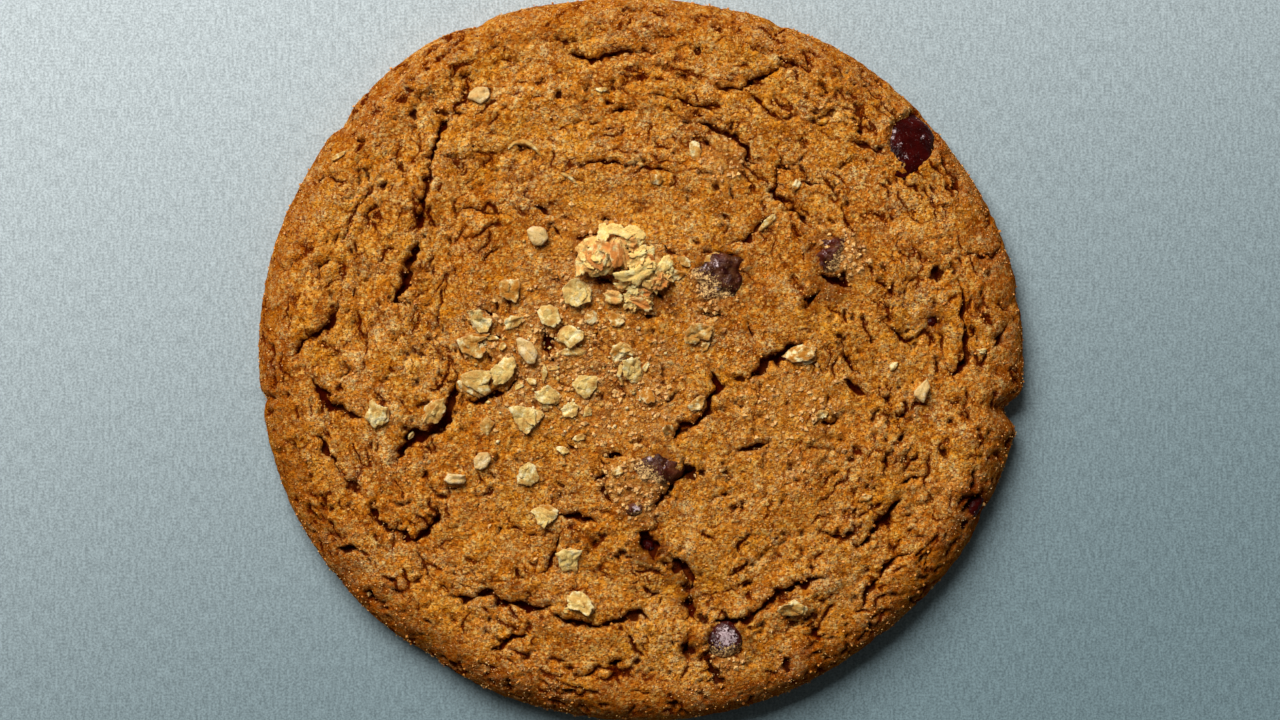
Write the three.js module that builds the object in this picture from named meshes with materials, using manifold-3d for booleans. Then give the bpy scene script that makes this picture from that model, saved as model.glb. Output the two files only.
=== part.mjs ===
// A giant granola cookie: one round of baked dough, with chocolate chips, a clump of granola, oat
// flakes and oat kernels bedded in its top.
// Millimetres, +Z up. The origin is under the middle of the cookie, on its flat base.

import * as THREE from 'three';
import { mergeVertices } from 'three/addons/utils/BufferGeometryUtils.js';
import Module from 'manifold-3d';

const wasm = await Module();
wasm.setup();

// Driving dimensions of the dough
const HALF_WIDTH = 57.1;          // along X, before the outline's lobes
const HALF_DEPTH = 54.1;          // along Y
const CROWN_HEIGHT = 10.4;        // of the middle of the top
const SHOULDER_HEIGHT = 8.2;      // where the top turns over into the rim
const RIM_REACH = 7.5;            // from the edge in to the shoulder
const WIDEST_HEIGHT = 2.6;        // of the outermost line of the edge
const BASE_INSET = 1.6;           // from the outermost line in to the flat base
const SEGMENTS = 60;              // round the cookie
const TOP_RINGS = 12;             // from the shoulder to the middle
const WAVE_HEIGHT = 0.3;          // of the low swells that run round the top
const WAVE_LENGTH = 12;           // from one swell to the next

// Driving dimensions of the toppings
const GAP = 0.3;                  // clearance between a topping and its socket in the dough
const SOCKET_OPENING = 4;         // how far a socket's upper half is drawn up, to open it
const FLAKE_THICKNESS = 1.0;
const FLAKE_LIFT = 0.2;           // of a flake's middle above the dough
const KERNEL_THICKNESS = 1.9;
const KERNEL_LIFT = 0.35;
const CLUMP_LENGTH = 13.6;
const CLUMP_WIDTH = 9.4;
const CLUMP_THICKNESS = 5.2;
const CLUMP_LIFT = 0.9;

// Lobes and flats of the outline: where round the edge, how wide (degrees) and how high (mm)
const OUTLINE_LOBES = [
  { at: 12, spread: 16, height: 0.6 },
  { at: 55, spread: 14, height: 0.4 },
  { at: 127, spread: 21, height: 2.1 },
  { at: 160, spread: 14, height: 0.5 },
  { at: 235, spread: 18, height: -0.4 },
  { at: 310, spread: 16, height: -0.6 },
];

// The nick broken out of the right edge
const NICK = { x: 57.6, y: -7.4, length: 4.6, width: 3.0, thickness: 24, turn: 10 };

// Broad mounds and hollows of the top: centre, radius and height
const MOUNDS = [
  { x: 0.5, y: -17.5, radius: 6.5, height: 0.9 },
  { x: 29.8, y: 15.5, radius: 5, height: 0.7 },
  { x: 11.5, y: 11.5, radius: 5.5, height: 0.6 },
  { x: 13, y: 29.5, radius: 4, height: 0.5 },
  { x: -12, y: 36, radius: 9, height: 0.4 },
  { x: 14, y: -26, radius: 9, height: 0.5 },
  { x: 30, y: 8, radius: 7, height: 0.4 },
  { x: -38, y: -4, radius: 8, height: 0.4 },
  { x: -15, y: 1, radius: 9, height: -0.4 },
  { x: 33, y: -4, radius: 6, height: -0.5 },
  { x: 7, y: -36, radius: 6, height: -0.5 },
  { x: -40, y: 24, radius: 7, height: 0.4 },
];

// Deep furrows: width, depth and the way each one runs
const FURROWS = [
  { width: 1.3, depth: 1.5, way: [[-28.3, 36], [-31, 29], [-32.6, 21.5], [-34.6, 13.5], [-36, 8.5]] },
  { width: 1.6, depth: 1.8, way: [[-27.3, -4], [-28.9, -8.5], [-32.5, -11.3], [-36.2, -15]] },
  { width: 1.2, depth: 1.4, way: [[-40, -22], [-37, -25.2], [-33.8, -27], [-30.6, -23.4]] },
  { width: 1.0, depth: 1.2, way: [[-10.5, 45.2], [-4, 45.2], [3, 45.9]] },
  { width: 1.1, depth: 1.3, way: [[6.2, 35.4], [11.7, 34.2], [16, 31.7], [17.9, 28.8]] },
  { width: 1.1, depth: 1.4, way: [[20.4, 28.5], [20, 24.7], [22.7, 22], [25.2, 19.8]] },
  { width: 1.3, depth: 1.5, way: [[23.4, 3.6], [20, 0.5], [15.4, -3.8]] },
  { width: 1.0, depth: 1.3, way: [[11.5, -3.4], [10, -7], [6.5, -9.8], [5.5, -11.5]] },
  { width: 1.2, depth: 1.4, way: [[-27, -35], [-22.5, -34.7], [-17, -36.8], [-11, -38.8], [-6.3, -39.7], [-1, -38]] },
  { width: 1.2, depth: 1.4, way: [[10.5, -38.4], [16.2, -38], [20.5, -34.9], [28, -32.4]] },
  { width: 1.2, depth: 1.4, way: [[32.7, -28], [36, -24], [39, -20.5]] },
  { width: 1.0, depth: 1.2, way: [[47.5, 11.5], [48.4, 5], [48.5, 0], [46.3, -2.6]] },
  { width: 1.4, depth: 1.3, way: [[4, -29.7], [7.3, -33], [7, -38.4], [7.3, -44]] },
  { width: 1.1, depth: 1.2, way: [[-49, -2.5], [-46.5, -7.3], [-42.5, -8.8]] },
];

// Chocolate chips: middle, size, how far the middle lies above the dough, turn about Z and outward lean
const CHIPS = [
  { name: 'chip_glossy', x: 40.9, y: 33.3, length: 7.0, width: 6.8, thickness: 4.2, lift: -1.2, turn: 129, lean: 24 },
  { name: 'chip_bloomed', x: 12.9, y: -41.7, length: 4.9, width: 4.7, thickness: 3.6, lift: -0.6, turn: 0, lean: 0 },
  { name: 'chip_half_covered', x: 11.9, y: 12.2, length: 6.4, width: 5.4, thickness: 3.8, lift: -1.0, turn: -20, lean: 0 },
  { name: 'chip_crumbed', x: 29.2, y: 16, length: 6.8, width: 5.4, thickness: 4.0, lift: -0.8, turn: 55, lean: 0 },
  { name: 'chip_sunken', x: 2.6, y: -16.2, length: 4.8, width: 3.8, thickness: 3.2, lift: -0.9, turn: -60, lean: 0 },
  { name: 'chip_sunken_small', x: -0.8, y: -22, length: 3.0, width: 2.2, thickness: 2.4, lift: -0.7, turn: -15, lean: 0 },
  { name: 'chip_in_hole', x: 1.2, y: -27.7, length: 2.9, width: 2.2, thickness: 2.2, lift: -0.8, turn: -35, lean: 0 },
  { name: 'chip_dark', x: 43.6, y: 5.6, length: 3.2, width: 2.2, thickness: 2.4, lift: -0.7, turn: 20, lean: 0 },
  { name: 'chip_at_rim', x: 49.2, y: -22.6, length: 5.6, width: 2.0, thickness: 2.6, lift: -0.4, turn: 65, lean: 35 },
];

// Oat flakes: middle, length, width and turn about Z in degrees
const FLAKES = [
  { x: -9.4, y: 10.0, length: 4.9, width: 4.3, turn: 20 },
  { x: -19.3, y: 10.4, length: 4.0, width: 3.6, turn: 5 },
  { x: -23.6, y: 5.9, length: 3.8, width: 2.9, turn: -55 },
  { x: -13.6, y: 6.5, length: 3.8, width: 3.0, turn: -40 },
  { x: -10.2, y: 3.6, length: 3.7, width: 3.1, turn: 15 },
  { x: -24.7, y: 2.3, length: 4.4, width: 2.2, turn: -10 },
  { x: -24.4, y: -2.9, length: 3.9, width: 3.2, turn: -25 },
  { x: -19.8, y: -1.4, length: 4.0, width: 3.3, turn: 35 },
  { x: -13.4, y: -5.2, length: 3.6, width: 3.3, turn: -50 },
  { x: -8.0, y: -3.8, length: 3.7, width: 3.4, turn: 30 },
  { x: -2.4, y: 1.5, length: 3.7, width: 2.0, turn: -5 },
  { x: -1.1, y: -1.8, length: 3.3, width: 2.7, turn: 40 },
  { x: -17.3, y: -8.5, length: 4.9, width: 3.6, turn: -10 },
  { x: 8.7, y: 4.1, length: 4.2, width: 2.7, turn: 10 },
  { x: -16.4, y: -17.0, length: 3.4, width: 3.1, turn: 30 },
  { x: -14.1, y: -23.2, length: 3.9, width: 2.7, turn: -10 },
  { x: -10.6, y: -29.6, length: 3.8, width: 3.2, turn: 60 },
  { x: -8.6, y: -36.0, length: 4.4, width: 2.8, turn: -38 },
  { x: -38.9, y: -8.2, length: 3.8, width: 3.1, turn: 70 },
  { x: -30.3, y: -7.7, length: 4.0, width: 2.5, turn: 50 },
  { x: 22.6, y: -37.0, length: 4.6, width: 2.3, turn: 0 },
  { x: 24.0, y: 0.9, length: 5.2, width: 2.9, turn: -5 },
];

// Whole oat kernels, rounder and thicker than the flakes
const KERNELS = [
  { x: -15.1, y: 18.7, length: 3.7, width: 3.2, turn: -20 },
  { x: -27.4, y: -17.7, length: 3.6, width: 2.0, turn: 0 },
  { x: -16.6, y: 1.3, length: 4.8, width: 2.4, turn: -52 },
  { x: 42.0, y: -4.8, length: 4.0, width: 2.2, turn: 65 },
];

const materials = {
  dough: new THREE.MeshStandardMaterial({ color: 0xa86a34, roughness: 0.85, metalness: 0 }),
  chocolate: new THREE.MeshStandardMaterial({ color: 0x3b1510, roughness: 0.3, metalness: 0 }),
  granola: new THREE.MeshStandardMaterial({ color: 0xd9a860, roughness: 0.7, metalness: 0 }),
  oats: new THREE.MeshStandardMaterial({ color: 0xe6c98c, roughness: 0.65, metalness: 0 }),
  kernels: new THREE.MeshStandardMaterial({ color: 0xe2cda4, roughness: 0.6, metalness: 0 }),
};

// ---- The dough's form ----

function degreesBetween(a, b) {
  return THREE.MathUtils.euclideanModulo(a - b + 180, 360) - 180;
}

// Distance from the middle to the edge in one direction: an ellipse with a few lobes and flats
function outlineRadius(angle) {
  const ellipse = 1 / Math.hypot(Math.cos(angle) / HALF_WIDTH, Math.sin(angle) / HALF_DEPTH);
  const degrees = THREE.MathUtils.radToDeg(angle);
  const lobes = OUTLINE_LOBES.map(
    (lobe) => lobe.height * Math.exp(-((degreesBetween(degrees, lobe.at) / lobe.spread) ** 2)),
  );
  return lobes.reduce((sum, lobe) => sum + lobe, ellipse);
}

// Height of the plain top at a profile radius: a shallow dome, then the round turn of the rim
function profileHeight(radius) {
  const shoulder = HALF_WIDTH - RIM_REACH;
  if (radius <= shoulder) {
    return SHOULDER_HEIGHT + (CROWN_HEIGHT - SHOULDER_HEIGHT) * (1 - (radius / shoulder) ** 2);
  }
  const turn = Math.min((radius - shoulder) / RIM_REACH, 1);
  return WIDEST_HEIGHT + (SHOULDER_HEIGHT - WIDEST_HEIGHT) * Math.sqrt(1 - turn ** 2);
}

// Uneven swell of the top: the mounds, and low waves that run round the cookie
function relief(x, y) {
  const mounds = MOUNDS.reduce(
    (sum, mound) => sum + mound.height * Math.exp(-((x - mound.x) ** 2 + (y - mound.y) ** 2) / mound.radius ** 2),
    0,
  );
  const radius = Math.hypot(x, y);
  const wander = 1.4 * Math.sin(2 * Math.atan2(y, x) + 0.6);
  const waves = WAVE_HEIGHT * Math.sin(2 * Math.PI * radius / WAVE_LENGTH + wander);
  return mounds + waves * THREE.MathUtils.smoothstep(radius, 12, 36);
}

// Height of the top of the dough above the base
function topHeight(x, y) {
  const share = Math.hypot(x, y) / outlineRadius(Math.atan2(y, x));
  const fade = 1 - THREE.MathUtils.smoothstep(share, 0.86, 1);
  return profileHeight(share * HALF_WIDTH) + relief(x, y) * fade;
}

// Half section of the dough, from the middle of its base, round the rim, to the middle of its top
function doughProfile() {
  const baseRadius = HALF_WIDTH - BASE_INSET;
  const shoulder = HALF_WIDTH - RIM_REACH;
  const points = [new THREE.Vector2(0, 0), new THREE.Vector2(baseRadius * 0.6, 0)];
  for (const turn of [0, 1 / 3, 2 / 3].map((share) => share * Math.PI / 2)) {
    points.push(new THREE.Vector2(baseRadius + BASE_INSET * Math.sin(turn), WIDEST_HEIGHT * (1 - Math.cos(turn))));
  }
  for (const turn of [0, 1 / 4, 2 / 4, 3 / 4].map((share) => share * Math.PI / 2)) {
    const radius = shoulder + RIM_REACH * Math.cos(turn);
    points.push(new THREE.Vector2(radius, profileHeight(radius)));
  }
  for (let ring = 0; ring <= TOP_RINGS; ring += 1) {
    const radius = shoulder * (1 - ring / TOP_RINGS);
    points.push(new THREE.Vector2(radius, profileHeight(radius)));
  }
  return points;
}

// The lathed round, drawn out to the uneven outline, with the relief on its top
function doughGeometry() {
  const geometry = new THREE.LatheGeometry(doughProfile(), SEGMENTS);
  geometry.rotateX(Math.PI / 2);
  return reshape(geometry, (point) => {
    const onTop = point.z > WIDEST_HEIGHT + 1e-3;
    const angle = Math.atan2(point.y, point.x);
    const radius = Math.hypot(point.x, point.y) * outlineRadius(angle) / HALF_WIDTH;
    point.x = radius * Math.cos(angle);
    point.y = radius * Math.sin(angle);
    if (onTop) {
      point.z = topHeight(point.x, point.y);
    }
  });
}

// ---- Closed bodies, and cutting them ----

// A geometry whose vertices are shared and moved one by one, without triangles of no area
function reshape(geometry, movePoint) {
  geometry.deleteAttribute('normal');
  geometry.deleteAttribute('uv');
  const shared = mergeVertices(geometry, 1e-4);
  const corners = Array.from(shared.index.array);
  const kept = [];
  for (let i = 0; i < corners.length; i += 3) {
    const [a, b, c] = corners.slice(i, i + 3);
    if (a !== b && b !== c && c !== a) {
      kept.push(a, b, c);
    }
  }
  shared.setIndex(kept);
  const position = shared.attributes.position;
  const point = new THREE.Vector3();
  for (let i = 0; i < position.count; i += 1) {
    point.fromBufferAttribute(position, i);
    movePoint(point, i);
    position.setXYZ(i, point.x, point.y, point.z);
  }
  return shared;
}

function solidOf(geometry) {
  return new wasm.Manifold(new wasm.Mesh({
    numProp: 3,
    vertProperties: geometry.attributes.position.array,
    triVerts: new Uint32Array(geometry.index.array),
  }));
}

function geometryOf(solid) {
  const { vertProperties, triVerts } = solid.getMesh();
  const geometry = new THREE.BufferGeometry();
  geometry.setAttribute('position', new THREE.BufferAttribute(vertProperties, 3));
  geometry.setIndex(new THREE.BufferAttribute(triVerts, 1));
  return geometry;
}

// A four-sided wedge that follows a furrow along the top, thin at both ends
function furrowCutter(furrow) {
  const path = new THREE.CatmullRomCurve3(furrow.way.map(([x, y]) => new THREE.Vector3(x, y, 0)));
  const steps = furrow.way.length + 1;
  const bar = new THREE.CylinderGeometry(1, 1, 1, 4, steps);
  return reshape(bar, (point) => {
    const along = point.y + 0.5;
    const taper = 0.15 + 0.85 * Math.sin(Math.PI * along) ** 0.6;
    const middle = path.getPointAt(along);
    const forward = path.getTangentAt(along);
    const sideways = point.x * furrow.width / 2 * taper;
    const upward = point.z > 0 ? 1.5 : furrow.depth * taper;
    const surface = topHeight(middle.x, middle.y);
    point.set(middle.x + forward.y * sideways, middle.y - forward.x * sideways, surface + point.z * upward);
  });
}

// ---- The toppings ----

// A flattened, slightly lopsided round, the size given across, its poles up and down
function pebble(piece, sides, bands, character) {
  const ball = new THREE.SphereGeometry(1, sides, bands);
  ball.rotateX(Math.PI / 2);
  return reshape(ball, (point) => {
    const angle = Math.atan2(point.y, point.x);
    const swell = 1 + piece.unevenness * (Math.sin(2 * angle + character) + Math.sin(3 * angle + 2.3 * character));
    point.x *= swell * (piece.length / 2 + piece.grow);
    point.y *= swell * (piece.width / 2 + piece.grow);
    point.z *= piece.thickness / 2 + piece.grow;
  });
}

// The round-bottomed notch of the broken nick, through the full height of the rim
function nickCutter() {
  const notch = pebble({ ...NICK, unevenness: 0.04, grow: 0 }, 8, 4, 1);
  return notch.rotateZ(THREE.MathUtils.degToRad(NICK.turn)).translate(NICK.x, NICK.y, SHOULDER_HEIGHT / 2);
}

// A heap of granola stuck together: a pebble with knobs where its flakes stand out
function clump(piece) {
  const ball = new THREE.SphereGeometry(1, 22, 12);
  ball.rotateX(Math.PI / 2);
  return reshape(ball, (point) => {
    const knobs = 0.07 * Math.sin(5 * point.x + 1.3) * Math.sin(6 * point.y + 0.4)
      + 0.05 * Math.sin(9 * point.x - 7 * point.y + 5 * point.z);
    const swell = 1 + knobs * 1.3;
    point.x *= swell * (piece.length / 2 + piece.grow);
    point.y *= swell * (piece.width / 2 + piece.grow);
    point.z *= swell * (piece.thickness / 2 + piece.grow);
  });
}

// Every topping as { name, material, x, y, lift, turn, lean, shape(grow) }
function toppings() {
  const chips = CHIPS.map((chip, i) => ({
    ...chip,
    material: materials.chocolate,
    shape: (grow) => pebble({ ...chip, unevenness: 0.025, grow }, 9, 6, i),
  }));
  const flakes = FLAKES.map((flake, i) => ({
    ...flake,
    name: `oat_flake_${i + 1}`,
    material: materials.oats,
    lift: FLAKE_LIFT,
    lean: 7 * Math.sin(2.1 * i),
    shape: (grow) => pebble({ ...flake, thickness: FLAKE_THICKNESS, unevenness: 0.05, grow }, 8, 4, i),
  }));
  const kernels = KERNELS.map((kernel, i) => ({
    ...kernel,
    name: `oat_kernel_${i + 1}`,
    material: materials.kernels,
    lift: KERNEL_LIFT,
    lean: 0,
    shape: (grow) => pebble({ ...kernel, thickness: KERNEL_THICKNESS, unevenness: 0.03, grow }, 8, 4, i),
  }));
  const cluster = {
    name: 'granola_clump',
    material: materials.granola,
    x: -2.6,
    y: 15.6,
    lift: CLUMP_LIFT,
    turn: -12,
    lean: 0,
    shape: (grow) => clump({ length: CLUMP_LENGTH, width: CLUMP_WIDTH, thickness: CLUMP_THICKNESS, grow }),
  };
  return [...chips, cluster, ...flakes, ...kernels];
}

function toppingMesh(topping) {
  const mesh = new THREE.Mesh(topping.shape(0), topping.material);
  mesh.name = topping.name;
  mesh.position.set(topping.x, topping.y, topHeight(topping.x, topping.y) + topping.lift);
  mesh.rotation.set(THREE.MathUtils.degToRad(topping.lean), 0, THREE.MathUtils.degToRad(topping.turn), 'ZXY');
  mesh.updateMatrix();
  return mesh;
}

// What the topping takes out of the dough: its own shape, a gap larger and open at the top
function socketCutter(topping, mesh) {
  const socket = topping.shape(GAP);
  const position = socket.attributes.position;
  for (let i = 0; i < position.count; i += 1) {
    if (position.getZ(i) > 1e-3) {
      position.setZ(i, position.getZ(i) + SOCKET_OPENING);
    }
  }
  return socket.applyMatrix4(mesh.matrix);
}

// ---- The cookie ----

const cookie = new THREE.Group();
const placed = toppings().map((topping) => ({ topping, mesh: toppingMesh(topping) }));

let doughSolid = solidOf(doughGeometry());
const cutters = [
  nickCutter(),
  ...FURROWS.map(furrowCutter),
  ...placed.map(({ topping, mesh }) => socketCutter(topping, mesh)),
];
for (const cutter of cutters) {
  doughSolid = doughSolid.subtract(solidOf(cutter));
}

const dough = new THREE.Mesh(geometryOf(doughSolid), materials.dough);
dough.name = 'dough';
cookie.add(dough, ...placed.map(({ mesh }) => mesh));

// The origin goes under the middle of the whole outline
const middle = new THREE.Box3().setFromObject(cookie).getCenter(new THREE.Vector3());
cookie.position.set(-middle.x, -middle.y, 0);
for (const mesh of cookie.children) {
  mesh.geometry.computeVertexNormals();
}

export default cookie;
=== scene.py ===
"""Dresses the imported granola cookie: baked dough, chocolate chips, granola clump, oat flakes and crumbs.

Shapes are worked out in millimetres, in the part's own frame with +Z up, and turned into metres where a mesh
is made.
"""
import math

import bpy
import numpy as np
from mathutils import Matrix, Vector
from mathutils.bvhtree import BVHTree


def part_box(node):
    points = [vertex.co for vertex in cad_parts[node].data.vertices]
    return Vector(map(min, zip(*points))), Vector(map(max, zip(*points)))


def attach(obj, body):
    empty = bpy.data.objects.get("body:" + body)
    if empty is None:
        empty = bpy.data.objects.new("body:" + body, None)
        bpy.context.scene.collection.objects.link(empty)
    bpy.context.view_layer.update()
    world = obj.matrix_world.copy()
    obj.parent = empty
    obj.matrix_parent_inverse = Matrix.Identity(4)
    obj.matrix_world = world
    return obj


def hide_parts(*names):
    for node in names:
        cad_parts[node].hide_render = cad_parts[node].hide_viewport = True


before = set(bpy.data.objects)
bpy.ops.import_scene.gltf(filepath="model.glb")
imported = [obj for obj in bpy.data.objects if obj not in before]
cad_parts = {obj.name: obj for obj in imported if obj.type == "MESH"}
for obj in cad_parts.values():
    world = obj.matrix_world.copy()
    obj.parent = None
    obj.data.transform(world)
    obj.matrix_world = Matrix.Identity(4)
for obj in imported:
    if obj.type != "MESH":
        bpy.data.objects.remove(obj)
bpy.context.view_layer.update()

MM = 0.001

# The dough's driving sizes, as in the solid that it replaces (mm)
HALF_WIDTH = 57.1
HALF_DEPTH = 54.1
CROWN_HEIGHT = 10.4
SHOULDER_HEIGHT = 8.2
RIM_REACH = 7.5
WIDEST_HEIGHT = 2.6
BASE_INSET = 1.6
SHOULDER = HALF_WIDTH - RIM_REACH
BASE_RADIUS = HALF_WIDTH - BASE_INSET

# Rings of the dough's mesh
TOP_RINGS = 168                # from the middle of the top to the outermost line; ring n has 6n points
LOW_RINGS = 6                  # from the outermost line down to the base
UNDER_RINGS = 13               # from the edge of the base to its middle

# The frame that the camera shows, and how far off it stands (mm)
VIEW_WIDTH = 192.0
VIEW_LENS = 150.0
SENSOR_WIDTH = 36.0

# Lobes and flats of the outline: where (degrees), how wide (degrees), how high
OUTLINE_LOBES = [
    (12, 16, 0.6),
    (55, 14, 0.4),
    (127, 21, 2.1),
    (160, 14, 0.5),
    (235, 18, -0.4),
    (310, 16, -0.6),
]
# Small dents of the edge: where, how wide, how deep
EDGE_DENTS = [
    (-7.6, 2.0, 2.1),
    (-4.6, 1.6, -0.3),
    (-10.8, 1.5, -0.4),
    (116.1, 1.6, 0.7),
    (141.5, 1.8, 0.7),
    (186.0, 1.1, 0.8),
    (67.2, 1.6, 0.5),
    (91.0, 3.5, -0.4),
    (9.3, 1.8, 0.5),
    (235.0, 2.5, 0.5),
    (336.0, 2.2, 0.5),
]

# Broad mounds and hollows of the top: x, y, radius, height
MOUNDS = [
    (0.5, -17.5, 6.5, 0.9),
    (29.9, 15.5, 3.8, 1.1),
    (11.5, 11.5, 5.5, 0.6),
    (13.0, 29.5, 4.0, 0.5),
    (-12.0, 36.0, 9.0, 0.4),
    (14.0, -26.0, 9.0, 0.5),
    (30.0, 8.0, 7.0, 0.4),
    (-38.0, -4.0, 8.0, 0.4),
    (-15.0, 1.0, 9.0, -0.4),
    (33.0, -4.0, 6.0, -0.5),
    (7.0, -36.0, 6.0, -0.5),
    (-40.0, 24.0, 7.0, 0.4),
]

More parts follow.
